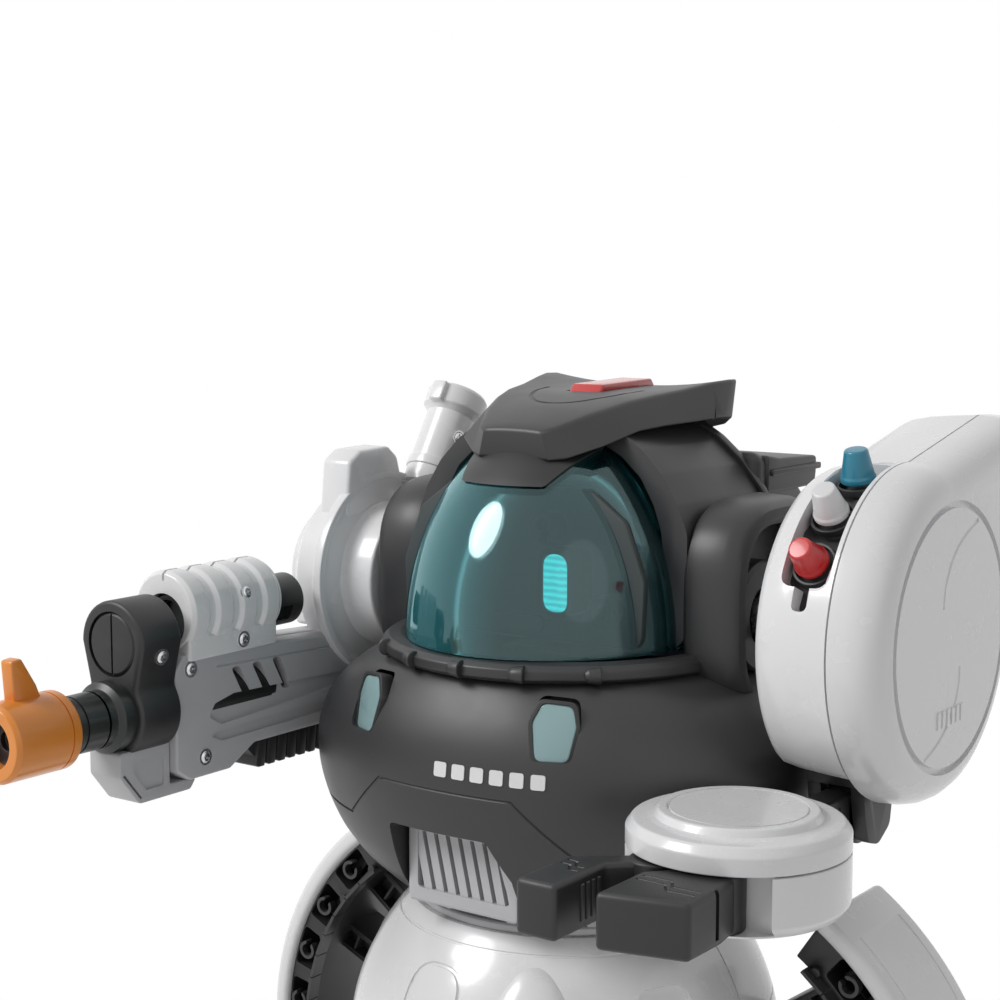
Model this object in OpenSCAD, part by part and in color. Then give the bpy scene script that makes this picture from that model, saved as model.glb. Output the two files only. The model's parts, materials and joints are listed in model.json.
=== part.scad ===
// Toy robot with a domed visor, a clamp hand, a clip-on blaster arm and wheeled feet.
// Sizes are in millimetres. X runs to the robot's left, it faces -Y and Z is up.

/* [Body] */
// Half width of the chest bowl across the shoulders
chest_half_w = 89; // [87:0.5:90]
// Wall thickness of the moulded shells
wall = 2.5; // [2:0.5:3]
// Radius of the ball under the waist
pelvis_r = 73; // [71:1:74]
// Radius of the waist shaft
waist_shaft_r = 10; // [8:1:12]

/* [Arms] */
// Height of the shoulder axis above the floor
shoulder_z = 222; // [221:1:223]
// Distance of the shoulder axis behind the body axis
shoulder_y = 14; // [13:1:15]
// Radius of the large left shoulder drum
drum_r = 52; // [50:1:52]
// Radius of the clamp hand
hand_r = 31.5; // [30:0.5:32]
// Length of the blaster ahead of the body axis
muzzle_reach = 158; // [154:1:162]

/* [Legs] */
// Outer radius of the curved leg shells
leg_r = 104; // [102:1:104]
// Front to back depth of a leg
leg_depth = 42; // [38:1:44]
// Radius of the wheels under the feet
wheel_r = 12; // [11:0.5:12]
// Half the distance between a foot's axles
wheel_base_half = 40; // [36:1:44]

/* [Fit] */
// Radial gap of a shaft that turns in a bore
run_gap = 0.05; // [0.02:0.01:0.08]
// Gap between neighbouring shells
seam_gap = 0.3; // [0.3:0.05:0.5]

/* [Hidden] */
$fn = 48;
tiny = 0.01;
big = 400;
rear_reach = 88;
axis_y = (muzzle_reach - rear_reach) / 2;

// Torso heights and the limits of the front and back curves of the bowl
chest_floor_z = 130;
chest_top_z = 207;
bowl_shift = 35;
neck_z = 124;
pelvis_z = 72;
pelvis_cut_z = 16;
seam_y = 0;

// Head
arch_half_w = 53;
arch_front_y = -11;
arch_rear_y = 40;
arch_top_z = 284;
visor_r = 60;
visor_z = 213;
visor_y = 2;
chin_z = 212.4;
face_y = -26;
eye_y = -38;
eye_x = 21.5;
eye_z = 235;
face_screws = [[-12, 249], [12, 249], [34, 226], [-34, 226]];
collar_r = 61;

// Shoulder pods and drum
pod_in_x = 52;
pod_out_x = 72;
drum_in_x = 89.3;
right_in_x = 88;
exhaust_x = -90;
drum_split_x = 114;
drum_out_x = 130;
shaft_r = 8;
button_x = 104;
button_angles = [32, 53, 76];
button_plate_r = 44;
button_plate_t = 2.5;
button_stem_r = 3;
slot_half_w = 7.5;

// Hand
elbow_x = 101;
elbow_y = 8;
elbow_z = 167;
elbow_r = 11;
pin_r = 2.5;
hand_x = 102;
hand_y = -65;
hand_top_z = 180;
hand_seam_z = 169;
hand_floor_z = 155;
jaw_post_r = 3;
jaw_pivot_y = -88;
jaw_top_z = 172.5;
jaw_floor_z = 156.5;
outer_jaw_x = 109;
inner_jaw_x = 89;

// Blaster
gun_x = -101;
gun_half_w = 10;
gun_top_z = 204;
gun_floor_z = 162;
gun_front_y = -87;
gun_rear_y = 8;
bore_z = 190;
barrel_r = 9.5;
scope_z = 217;
scope_r = 9;
lobe_r = 14;

// Legs and feet
leg_cx = 36;
leg_cz = 44;
leg_front_y = 6;
leg_shell_t = 4;
leg_frame_t = 15;
strut_w = 18;
strut_y = leg_front_y + (leg_depth - strut_w) / 2;
foot_x = 120;
foot_half_w = 19;
foot_half_l = 62;
foot_floor_z = 3;
foot_top_z = 30;
axle_r = 2;
wheel_half_w = 6;
wheel_well_r = wheel_r + 2;

// Everything is drawn about the body axis and then moved so that the outline is centred on Y.
module place() {
    translate([0, axis_y, 0]) children();
}

// A box between two corners
module block(low, high) {
    translate(low) cube(high - low);
}

// A cylinder along X from x0 to x1, centred on the given y and z
module rod_x(x0, x1, y, z, r) {
    translate([x0, y, z]) rotate([0, 90, 0]) cylinder(r = r, h = x1 - x0);
}

// A cylinder along Y from y0 to y1, centred on the given x and z
module rod_y(y0, y1, x, z, r) {
    translate([x, y1, z]) rotate([90, 0, 0]) cylinder(r = r, h = y1 - y0);
}

// A YZ outline, drawn with y along its first axis, thickened from x0 to x1
module slab_x(x0, x1) {
    translate([x0, 0, 0]) rotate([90, 0, 90]) linear_extrude(x1 - x0) children();
}

// An XZ outline thickened from y0 to y1
module slab_y(y0, y1) {
    translate([0, y1, 0]) rotate([90, 0, 0]) linear_extrude(y1 - y0) children();
}

// A flat rectangle with round corners, centred on the origin
module round_rect(w, h, r) {
    square([w - 2 * r, h], center = true);
    square([w, h - 2 * r], center = true);
    for (sx = [-1, 1], sy = [-1, 1])
        translate([sx * (w / 2 - r), sy * (h / 2 - r)]) circle(r);
}

// The same piece on both sides
module both_sides() {
    children();
    mirror([1, 0, 0]) children();
}

// ---------------------------------------------------------------- lower body

// Outline of the pelvis ball, shrunk by inset and turned about its own axis
module pelvis_solid(inset, turn = 0) {
    intersection() {
        translate([0, 0, pelvis_z]) rotate([0, 0, turn]) sphere(r = pelvis_r - inset, $fn = 96);
        block([-big, -big, pelvis_cut_z + inset], [big, big, neck_z - inset]);
    }
}

module pelvis_wall(turn = 0) {
    difference() {
        pelvis_solid(0, turn);
        pelvis_solid(wall, turn);
        cylinder(r = 44, h = big);
        cylinder(r = 31, h = pelvis_cut_z + 10);
    }
}

module pelvis_front_shell() {
    color("white") place() difference() {
        pelvis_wall(90);
        block([-big, seam_y, 0], [big, big, big]);
    }
}

module pelvis_rear_shell() {
    color("white") place() difference() {
        intersection() {
            pelvis_wall();
            block([-big, seam_y + seam_gap, 0], [big, big, big]);
        }
        both_sides() strut_socket();
        block([-10, 60, 66], [10, big, 78]);
        block([-28, 40, 26], [28, big, 62]);
    }
}

// Clearance for a leg brace where it enters the ball
module strut_socket() {
    block([40, strut_y - 1, 46], [78, strut_y + strut_w + 1, 104]);
}

module base_plate() {
    color("dimgray") place() difference() {
        translate([0, 0, pelvis_cut_z - 3]) cylinder(r = 30, h = 5);
        for (turn = [45 : 90 : 315])
            rotate([0, 0, turn]) translate([22, 0, 0]) cylinder(r = 1.6, h = 40);
    }
}

module waist_bearing() {
    color("gainsboro") place() difference() {
        union() {
            translate([0, 0, neck_z - 4]) cylinder(r = 43.5, h = 4);
            translate([0, 0, neck_z]) cylinder(r = 50, h = 3);
            translate([0, 0, neck_z + 3]) cylinder(r = 47, h = 2.4);
            translate([0, 0, 96]) cylinder(r = 18, h = 26);
        }
        translate([0, 0, 90]) cylinder(r = waist_shaft_r + run_gap, h = 60);
    }
}

module battery_pack() {
    color("darkgreen") place() block([-24, 8, 28], [24, 44, 60]);
}

module battery_door() {
    color("whitesmoke") place() difference() {
        intersection() {
            pelvis_solid(0);
            block([-27.6, 40, 26.4], [27.6, big, 61.6]);
        }
        pelvis_solid(wall);
    }
}

module main_board() {
    color("seagreen") place() union() {
        block([-40, -36, 60], [40, -34.4, 92]);
        block([-20, -38, 66], [-6, -36, 80]);
        block([6, -37.5, 68], [16, -36, 78]);
    }
}

// ---------------------------------------------------------------- legs and feet

// Sector of a ring in the XZ plane that follows the leg's curve
module leg_arc(r_out, r_in) {
    intersection() {
        difference() {
            translate([leg_cx, leg_cz]) circle(r_out, $fn = 96);
            translate([leg_cx, leg_cz]) circle(r_in, $fn = 96);
        }
        polygon([[leg_cx, leg_cz], [leg_cx + 90, leg_cz + 140], [leg_cx + 200, leg_cz + 140],
                 [leg_cx + 200, leg_cz - 14], [leg_cx + 60, leg_cz - 14]]);
    }
}

module leg_shell() {
    difference() {
        slab_y(leg_front_y, leg_front_y + leg_depth) leg_arc(leg_r, leg_r - leg_shell_t - 5);
        slab_y(leg_front_y + 2, leg_front_y + leg_depth - 2)
            leg_arc(leg_r - leg_shell_t, leg_r - leg_shell_t - 20);
        slab_y(leg_front_y - 1, leg_front_y + leg_depth + 1)
            leg_arc(leg_r - leg_shell_t, leg_r - leg_shell_t - 20);
    }
}

module leg_shells() {
    color("white") place() both_sides() leg_shell();
}

// One leg's inner frame: a curved channel with cross ribs
module leg_frame() {
    frame_out = leg_r - leg_shell_t;
    frame_in = frame_out - leg_frame_t;
    difference() {
        slab_y(leg_front_y + 1, leg_front_y + leg_depth - 1) leg_arc(frame_out, frame_in);
        for (turn = [2 : 13 : 54])
            translate([leg_cx, 0, leg_cz]) rotate([0, -turn, 0])
                block([frame_in + 3, 0, 0], [frame_out - 3, leg_front_y + leg_depth / 2 - 2, 9]);
        for (turn = [2 : 13 : 54])
            translate([leg_cx, 0, leg_cz]) rotate([0, -turn, 0])
                block([frame_in + 3, leg_front_y + leg_depth / 2 + 2, 0], [frame_out - 3, 90, 9]);
    }
}

module leg_frames() {
    color("#303030") place() both_sides() leg_frame();
}

// Two parallel braces from the leg down into the ball, on one root plate
module leg_strut() {
    slab_y(strut_y, strut_y + strut_w) difference() {
        union() {
            polygon([[52, 78], [60, 68], [112, 106], [102, 114]]);
            polygon([[52, 58], [60, 50], [126, 78], [122, 88]]);
            translate([50, 50]) square([9, 40]);
        }
        leg_arc(leg_r + 20, leg_r - leg_shell_t - leg_frame_t);
    }
}

module leg_struts() {
    color("#262626") place() both_sides() leg_strut();
}

// A closed foot with two wheel wells, axle bores and a motor bay
module foot() {
    difference() {
        union() {
            block([foot_x - foot_half_w, -foot_half_l + 12, foot_floor_z],
                  [foot_x + foot_half_w, foot_half_l - 12, foot_top_z]);
            block([foot_x - foot_half_w, -foot_half_l, foot_floor_z],
                  [foot_x + foot_half_w, foot_half_l, foot_top_z - 8]);
        }
        for (side = [-1, 1]) {
            rod_x(foot_x - wheel_half_w - 1, foot_x + wheel_half_w + 1, side * wheel_base_half, wheel_r,
                  wheel_well_r);
            block([foot_x - wheel_half_w - 1, side * wheel_base_half - wheel_well_r, 0],
                  [foot_x + wheel_half_w + 1, side * wheel_base_half + wheel_well_r, wheel_r]);
            rod_x(foot_x - foot_half_w + 4, foot_x + foot_half_w - 4, side * wheel_base_half, wheel_r,
                  axle_r);
        }
        block([foot_x - 12, -20, 7], [foot_x + 12, 20, 25]);
    }
}

module feet() {
    color("#3a3a3a") place() both_sides() foot();
}

module foot_motors() {
    color("silver") place() both_sides() union() {
        rod_y(-17, 13, foot_x, 15, 8);
        rod_y(13, 17, foot_x, 15, 1);
    }
}

module wheel_axles() {
    color("silver") place() both_sides()
        for (side = [-1, 1])
            rod_x(foot_x - foot_half_w + 4, foot_x + foot_half_w - 4, side * wheel_base_half, wheel_r,
                  axle_r);
}

// A wheel on the side and end given by the signs
module wheel(side, end) {
    color("#202020") place() difference() {
        union() {
            rod_x(side * foot_x - wheel_half_w, side * foot_x + wheel_half_w, end * wheel_base_half,
                  wheel_r, wheel_r - 1.5);
            rod_x(side * foot_x - wheel_half_w + 1.5, side * foot_x + wheel_half_w - 1.5,
                  end * wheel_base_half, wheel_r, wheel_r);
        }
        rod_x(side * foot_x - 20, side * foot_x + 20, end * wheel_base_half, wheel_r, axle_r + run_gap);
    }
}

module wheel_front_left() wheel(1, -1);
module wheel_rear_left() wheel(1, 1);
module wheel_front_right() wheel(-1, -1);
module wheel_rear_right() wheel(-1, 1);

module power_switch() {
    color("black") place() union() {
        block([-4, 66, 69], [3, 75, 75]);
        block([-6, 64, 68], [5, 66, 76]);
    }
}

// ---------------------------------------------------------------- torso

// Radius of the bowl at the sides, as [radius, height] corners from the floor up
function side_outline(inset) = [
    [0, chest_floor_z + inset], [56 - inset, chest_floor_z + inset], [70 - inset, 139],
    [82 - inset, 153], [chest_half_w - 2 - inset, 164], [chest_half_w - inset, 173],
    [chest_half_w - 2 - inset, 185], [80 - inset, 196], [70 - inset, 203],
    [60 - inset, chest_top_z - inset], [0, chest_top_z - inset]];

// The same for the front and back curves, whose centres are shifted by bowl_shift
function front_outline(inset) = [
    [0, chest_floor_z + inset], [bowl_shift + 57 - inset, chest_floor_z + inset],
    [bowl_shift + 62 - inset, 142], [bowl_shift + 67 - inset, 156], [bowl_shift + 70 - inset, 173],
    [bowl_shift + 68 - inset, 186], [bowl_shift + 64 - inset, 197],
    [bowl_shift + 58 - inset, chest_top_z - inset], [0, chest_top_z - inset]];

module bowl(inset) {
    intersection() {
        rotate_extrude($fn = 96) polygon(side_outline(inset));
        translate([0, bowl_shift, 0]) rotate_extrude($fn = 96) polygon(front_outline(inset));
        translate([0, -bowl_shift, 0]) rotate_extrude($fn = 96) polygon(front_outline(inset));
    }
}

module chest_shell() {
    color("#333333") place() difference() {
        bowl(0);
        bowl(wall);
        translate([0, 0, chest_floor_z - 10]) cylinder(r = 14, h = 20);
        translate([0, 0, chest_top_z - 10]) cylinder(r = 50, h = 20);
        block([-22, -90, 120], [22, -40, 159]);
        both_sides() headlight_block(seam_gap);
    }
}

// Louvred intake that closes the mouth of the bowl
module chest_grille() {
    color("gray") place() difference() {
        block([-21.7, -58, 131], [21.7, -50, 158.7]);
        for (row = [-3 : 3])
            translate([row * 5.4, -60, 145]) rotate([0, 14, 0]) block([-1.1, 0, -9], [1.1, 6, 9]);
    }
}

// Slanted quadrilateral that holds a headlight
module headlight_block(grow) {
    translate([34.5, -56, 193]) rotate([0, 0, 24]) rotate([-14, 0, 0])
        slab_y(-9 - grow, 7 + grow) polygon([
            [-6 - grow, -9 - grow], [5 + grow, -9 - grow], [7 + grow, 8 + grow], [-5 - grow, 9 + grow]]);
}

module headlight_lenses() {
    color("#9fc4c6") place() both_sides() headlight_block(0);
}

module collar_ring() {
    color("#3d3d3d") place() union() {
        difference() {
            translate([0, 0, chest_top_z]) cylinder(r = collar_r, h = 5, $fn = 96);
            translate([0, 0, chest_top_z - 1]) cylinder(r = collar_r - 11, h = 8, $fn = 96);
            translate([0, 0, chest_top_z - 1])
                block([-big, -5, 0], [big, big, 10]);
        }
        for (turn = [-42, -20, 0, 20, 42])
            rotate([0, 0, turn]) translate([0, 0.6 - collar_r, chest_top_z + 2.6]) sphere(2.6);
    }
}

// Central post with the waist shaft below and the shoulder bearings above
module torso_frame() {
    color("dimgray") place() difference() {
        union() {
            translate([0, 0, 98]) cylinder(r = waist_shaft_r, h = 60);
            translate([0, 0, chest_floor_z + wall]) cylinder(r = 38, h = 4);
            translate([0, 0, chest_floor_z + wall]) cylinder(r = 16, h = 60);
            block([-48, -2, shoulder_z - 14], [48, 30, shoulder_z + 14]);
            rod_x(-53, 53, shoulder_y, shoulder_z, 12);
            block([-16, -14, 190], [16, 14, shoulder_z - 14]);
        }
        rod_x(-62, 62, shoulder_y, shoulder_z, shaft_r + run_gap);
        translate([0, 0, 90]) cylinder(r = 4, h = 90);
    }
}

// ---------------------------------------------------------------- head

// Drum of the head across the shoulders with chamfered ends, shrunk by inset
module arch_outline(inset) {
    half_w = arch_half_w - inset;
    top = arch_top_z - inset;
    low = chest_top_z + 5.3 + inset;
    polygon([[-half_w, low], [half_w, low], [half_w, top - 34], [half_w - 4, top - 25], [half_w - 10, top - 16],
             [half_w - 18, top - 9], [half_w - 27, top - 3], [half_w - 34, top], [34 - half_w, top],
             [27 - half_w, top - 3], [18 - half_w, top - 9], [10 - half_w, top - 16], [4 - half_w, top - 25],
             [-half_w, top - 34]]);
}

// The arched part of the head, shrunk by inset
module head_solid(inset) {
    slab_y(arch_front_y + inset, arch_rear_y - inset) arch_outline(inset);
}

module visor_ball(inset) {
    translate([0, visor_y, visor_z]) sphere(r = visor_r - inset, $fn = 96);
}

module head_front_shell() {
    color("#3a3a3a") place() difference() {
        slab_y(arch_front_y, shoulder_y) arch_outline(0);
        slab_y(arch_front_y - 1, shoulder_y + 1) arch_outline(wall);
        block([-arch_half_w + wall, arch_front_y - 1, 200], [arch_half_w - wall, shoulder_y + 1, 230]);
        shoulder_holes();
    }
}

module head_rear_shell() {
    color("#363636") place() difference() {
        union() {
            slab_y(shoulder_y + seam_gap, arch_rear_y) arch_outline(0);
            block([-50, arch_rear_y - 1, 212.6], [50, 78, 264]);
            block([-42, 76, 216], [42, 84, 258]);
            block([-50, 46, 256], [50, 82, 268]);
        }
        slab_y(shoulder_y, arch_rear_y - wall) arch_outline(wall);
        block([-46, arch_rear_y - 4, 216], [46, 74, 254]);
        shoulder_holes();
    }
}

// Ways through both sides of the head for the shoulder shafts
module shoulder_holes() {
    rod_x(-arch_half_w - 5, arch_half_w + 5, shoulder_y, shoulder_z, 20);
}

module visor() {
    color("#1f5f66", 0.5) place() difference() {
        intersection() {
            visor_ball(0);
            block([-50, -big, chin_z], [50, arch_front_y - seam_gap, 271]);
        }
        visor_ball(wall);
    }
}

module face_plate() {
    color("#242c2e") place() difference() {
        union() {
            intersection() {
                visor_ball(5);
                block([-50, face_y - 4, chest_top_z + 5], [50, face_y, 264]);
            }
            for (spot = face_screws)
                rod_y(face_y - 5, face_y - 3, spot[0], spot[1], 3.6);
        }
        for (spot = face_screws)
            rod_y(face_y - 7, face_y - 2, spot[0], spot[1], 1.8);
        both_sides() slab_y(face_y - 9, face_y + 1) translate([eye_x, eye_z]) round_rect(9.2, 18.2, 4);
    }
}

module eye_panels() {
    color("#27eaef") place() both_sides()
        slab_y(eye_y, face_y) translate([eye_x, eye_z]) round_rect(9, 18, 3.8);
}

// Peaked cap: brim, crown and a swept fin on each side
module cap() {
    color("#454545") place() difference() {
        union() {
            slab_x(-30, 30) polygon([[-30, 272], [-31, 281], [-6, 289], [14, 291.5], [57, 291.5], [50, 276],
                                     [10, 284], [-14, 277]]);
            both_sides() slab_x(30, 46) polygon([[-14, 277], [-16, 283], [8, 292], [22, 295.5], [30, 295.5],
                                                 [25, 282], [10, 281.4], [-4, 280]]);
        }
        head_solid(-seam_gap);
        slab_x(-6.3, 6.3) polygon([[8.7, 288], [8.7, 293], [47.3, 293], [47.3, 288]]);
    }
}

module light_bar() {
    color("#c8322e") place()
        slab_x(-6, 6) polygon([[9, 288], [9, 291], [12, 293.5], [44, 294.5], [47, 292.5], [47, 288]]);
}

// Outline of a shoulder pod, drawn in YZ
module pod_outline(inset) {
    translate([18, 225]) round_rect(64 - 2 * inset, 70 - 2 * inset, 26 - inset);
}

module shoulder_pod() {
    difference() {
        union() {
            slab_x(pod_in_x, pod_out_x - 8) pod_outline(0);
            slab_x(pod_out_x - 8, pod_out_x) pod_outline(6);
        }
        slab_x(pod_in_x + 10, pod_out_x + 1) pod_outline(9);
        rod_x(pod_in_x - 1, pod_out_x + 1, shoulder_y, shoulder_z, 19.5);
        head_solid(-seam_gap);
        bowl(-seam_gap);
        translate([0, 0, chest_top_z]) cylinder(r = collar_r + seam_gap, h = 5.3, $fn = 96);
    }
}

module shoulder_pods() {
    color("#2b2b2b") place() both_sides() shoulder_pod();
}

module shoulder_motors() {
    color("silver") place() both_sides() rod_x(16.3, 42, 10, shoulder_z - 25, 11);
}

// ---------------------------------------------------------------- left arm

// Side view of the drum with its swept rear horn, shrunk by inset
module drum_outline(inset) {
    translate([shoulder_y, shoulder_z]) circle(drum_r - inset, $fn = 96);
    polygon([[shoulder_y, shoulder_z + drum_r - inset], [70, 285 - inset], [rear_reach - inset, 284 - inset],
             [rear_reach - inset, 268 + inset], [shoulder_y + drum_r - inset, shoulder_z],
             [shoulder_y, shoulder_z]]);
}

// Inner half of the drum with a flat underside, shrunk by inset
module drum_inner_solid(inset, x0, x1) {
    difference() {
        slab_x(x0, x1) drum_outline(inset);
        block([80, -60, 150], [drum_split_x + 5, 80, 183 + inset]);
    }
}

// A wedge of the rim between two angles above the forward direction
module rim_sector(r_in, r_out, x0, x1, from, to) {
    reach = 90;
    intersection() {
        difference() {
            rod_x(x0, x1, shoulder_y, shoulder_z, r_out);
            rod_x(x0 - 1, x1 + 1, shoulder_y, shoulder_z, r_in);
        }
        translate([0, shoulder_y, shoulder_z]) slab_x(x0 - 1, x1 + 1)
            polygon([[0, 0], [-reach * cos(from), reach * sin(from)],
                     [-reach * cos((from + to) / 2) * 1.3, reach * sin((from + to) / 2) * 1.3],
                     [-reach * cos(to), reach * sin(to)]]);
    }
}

module left_drum_inner() {
    color("whitesmoke") place() difference() {
        drum_inner_solid(0, drum_in_x, drum_split_x);
        drum_inner_solid(wall, drum_in_x + wall, drum_split_x + 1);
        rod_x(drum_in_x - 1, drum_split_x, shoulder_y, shoulder_z, shaft_r);
        rim_sector(drum_r - 8, drum_r + 20, button_x - slot_half_w, button_x + slot_half_w, 22, 88);
        rim_sector(drum_r - 8, drum_r + 20, button_x - 2.5, button_x + 2.5, 14, 24);
        block([elbow_x - 9.5, -6, 180], [elbow_x + 9.5, 24, 190]);
    }
}

module left_drum_outer() {
    color("whitesmoke") place() difference() {
        union() {
            slab_x(drum_split_x + seam_gap, drum_out_x - 8) drum_outline(0);
            slab_x(drum_out_x - 8, drum_out_x - 3) drum_outline(3);
            slab_x(drum_out_x - 3, drum_out_x) drum_outline(7);
        }
        slab_x(drum_split_x - 1, drum_out_x - 8 - wall) drum_outline(wall);
        difference() {
            rod_x(drum_out_x - 1.5, drum_out_x + 1, shoulder_y, shoulder_z, 41);
            rod_x(drum_out_x - 3, drum_out_x + 2, shoulder_y, shoulder_z, 38.5);
        }
    }
}

module left_shoulder_shaft() {
    color("silver") place() union() {
        rod_x(24, drum_in_x + 6, shoulder_y, shoulder_z, shaft_r);
        rod_x(drum_in_x + wall, drum_in_x + 5, shoulder_y, shoulder_z, 15);
    }
}

// Curved plate behind the slot, bored for the button stems
module button_plate() {
    color("#2a2a2a") place() difference() {
        rim_sector(button_plate_r, button_plate_r + button_plate_t, button_x - 8.5, button_x + 8.5, 12, 90);
        for (angle = button_angles)
            toward_rim(angle) cylinder(r = button_stem_r + run_gap, h = 30);
    }
}

// Frame whose Z axis points out of the rim at an angle above the forward direction
module toward_rim(angle) {
    translate([button_x, shoulder_y, shoulder_z]) rotate([90 - angle, 0, 0])
        translate([0, 0, button_plate_r - 10]) children();
}

// Conical cap with a straight stem
module push_button(angle) {
    place() toward_rim(angle) union() {
        translate([0, 0, 4]) cylinder(r = button_stem_r, h = 12);
        translate([0, 0, 14.3]) cylinder(r = 5.4, h = 3.7);
        translate([0, 0, 18]) cylinder(r1 = 5.4, r2 = 3.6, h = 6);
    }
}

module blue_button() color("#2b8199") push_button(button_angles[2]);
module white_button() color("white") push_button(button_angles[1]);
module red_button() color("#c8282a") push_button(button_angles[0]);

// Fork that hangs from the drum and carries the elbow pin
module elbow_bracket() {
    color("#2e2e2e") place() difference() {
        union() {
            slab_x(elbow_x - 9.5, elbow_x + 9.5) polygon([[-6, 190], [24, 190], [20, 176], [-4, 176]]);
            for (x = [elbow_x - 9.5, elbow_x + 5])
                slab_x(x, x + 4.5) polygon([[-4, 180], [20, 180], [elbow_y + 8, elbow_z - 6],
                                            [elbow_y - 4, elbow_z - 8], [elbow_y - 9, elbow_z]]);
        }
        rod_x(elbow_x - 4.5 - seam_gap, elbow_x + 4.5 + seam_gap, elbow_y, elbow_z, elbow_r + 0.6);
        rod_x(elbow_x - 20, elbow_x + 20, elbow_y, elbow_z, pin_r);
    }
}

module elbow_pin() {
    color("silver") place() rod_x(elbow_x - 9.5, elbow_x + 9.5, elbow_y, elbow_z, pin_r);
}

// Knuckle and arm between the elbow and the hand
module forearm() {
    color("#2e2e2e") place() difference() {
        union() {
            rod_x(elbow_x - 4.5, elbow_x + 4.5, elbow_y, elbow_z, elbow_r);
            block([elbow_x - 4.5, hand_y + hand_r + 1, 160], [elbow_x + 4.5, elbow_y - 6, 174]);
            block([elbow_x - 9, hand_y + hand_r - 6, 158], [elbow_x + 9, hand_y + hand_r + 8, 176]);
        }
        rod_x(elbow_x - 20, elbow_x + 20, elbow_y, elbow_z, pin_r + run_gap);
        translate([hand_x, hand_y, 140]) cylinder(r = hand_r, h = 60, $fn = 96);
    }
}

// Room for the jaws between the two halves of the hand
module jaw_room() {
    block([60, -140, jaw_floor_z - 0.6], [125, hand_y - 6, jaw_top_z + 0.6]);
}

module hand_upper_shell() {
    color("white") place() difference() {
        union() {
            translate([hand_x, hand_y, hand_seam_z + seam_gap]) cylinder(r = hand_r, h = 8, $fn = 96);
            translate([hand_x, hand_y, hand_seam_z]) cylinder(r = hand_r - 8, h = hand_top_z - hand_seam_z);
        }
        translate([hand_x, hand_y, hand_seam_z - 1]) cylinder(r = hand_r - wall, h = 6.5, $fn = 96);
        jaw_room();
    }
}

module hand_lower_shell() {
    color("whitesmoke") place() union() {
        difference() {
            translate([hand_x, hand_y, hand_floor_z - 3])
                cylinder(r = hand_r, h = hand_seam_z - hand_floor_z + 3, $fn = 96);
            translate([hand_x, hand_y, hand_floor_z]) cylinder(r = hand_r - wall, h = 30, $fn = 96);
            jaw_room();
        }
        for (x = [inner_jaw_x, outer_jaw_x])
            translate([x, jaw_pivot_y, hand_floor_z - 1]) cylinder(r = jaw_post_r, h = 17.5);
    }
}

// A clamp finger with its round root on the pivot
module jaw(x, reach, half_w, lean) {
    difference() {
        union() {
            translate([x, jaw_pivot_y, jaw_floor_z]) cylinder(r = 7.6, h = jaw_top_z - jaw_floor_z);
            translate([0, 0, jaw_floor_z]) linear_extrude(jaw_top_z - jaw_floor_z)
                polygon([[x - 6, jaw_pivot_y], [x + 6, jaw_pivot_y], [lean + half_w, jaw_pivot_y - 14],
                         [lean + half_w, -reach + 3], [lean + half_w - 3, -reach],
                         [lean - half_w + 3, -reach], [lean - half_w, -reach + 3],
                         [lean - half_w, jaw_pivot_y - 14]]);
        }
        translate([x, jaw_pivot_y, 140]) cylinder(r = jaw_post_r + run_gap, h = 60);
    }
}

module outer_jaw() {
    color("#2d2d2d") place() jaw(outer_jaw_x, 123, 12.5, outer_jaw_x - 4.5);
}

module inner_jaw() {
    color("#2d2d2d") place() jaw(inner_jaw_x, 125, 6.5, inner_jaw_x - 14.5);
}

// ---------------------------------------------------------------- right arm

// Round housing over the right shoulder with its top and front lugs
module right_shoulder_body() {
    rod_x(-right_in_x - 5, -right_in_x, shoulder_y, shoulder_z, 40);
    rod_x(-right_in_x - 17, -right_in_x - 5, shoulder_y, shoulder_z, 33);
    rod_x(-right_in_x - 27, -right_in_x - 17, shoulder_y, shoulder_z, 24);
    slab_x(-right_in_x - 14, -right_in_x) polygon([[-6, 246], [-4, 266], [18, 268], [26, 246]]);
    slab_x(gun_x - gun_half_w, gun_x + gun_half_w)
        polygon([[-8, gun_top_z], [-10, 226], [-4, 236], [20, 240], [20, gun_top_z]]);
}

module right_shoulder_shell() {
    color("gainsboro") place() difference() {
        right_shoulder_body();
        rod_x(-right_in_x - 8, -right_in_x + 1, shoulder_y, shoulder_z, shaft_r);
        rod_x(-right_in_x - 24, -right_in_x - 11, shoulder_y, shoulder_z, 20);
        block([-120, gun_front_y, 150], [-80, gun_rear_y + seam_gap, gun_top_z + seam_gap]);
    }
}

module right_shoulder_shaft() {
    color("silver") place() rod_x(-right_in_x - 8, -24, shoulder_y, shoulder_z, shaft_r);
}

module exhaust_tube() {
    color("whitesmoke") place() difference() {
        translate([exhaust_x, 30, 248]) rotate([-31, 0, 0]) difference() {
            union() {
                cylinder(r = 9.5, h = 42);
                translate([0, 0, 35]) cylinder(r = 11.5, h = 8);
            }
            translate([0, 0, 30]) cylinder(r = 8, h = 20);
        }
        right_shoulder_body();
    }
}

// Side view of the blaster's body
module gun_outline() {
    polygon([[gun_front_y, 168], [gun_front_y, gun_top_z - 4], [gun_front_y + 4, gun_top_z],
             [gun_rear_y, gun_top_z - 4], [gun_rear_y, 172], [-12, 172], [-54, 172], [-66, gun_floor_z],
             [gun_front_y + 6, gun_floor_z]]);
}

// Half of the blaster body between two planes, hollow around the barrel root
module gun_half(x0, x1) {
    difference() {
        slab_x(x0, x1) gun_outline();
        rod_y(gun_front_y - 1, -40, gun_x, bore_z, barrel_r);
        rod_y(-40 - tiny, gun_rear_y - 8, gun_x, 186, 7);
        for (y = [-58, -48, -38])
            slab_x(x0 - 1, x1 + 1) polygon([[y, 188], [y + 3, 188], [y - 3, 199], [y - 6, 199]]);
    }
}

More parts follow.
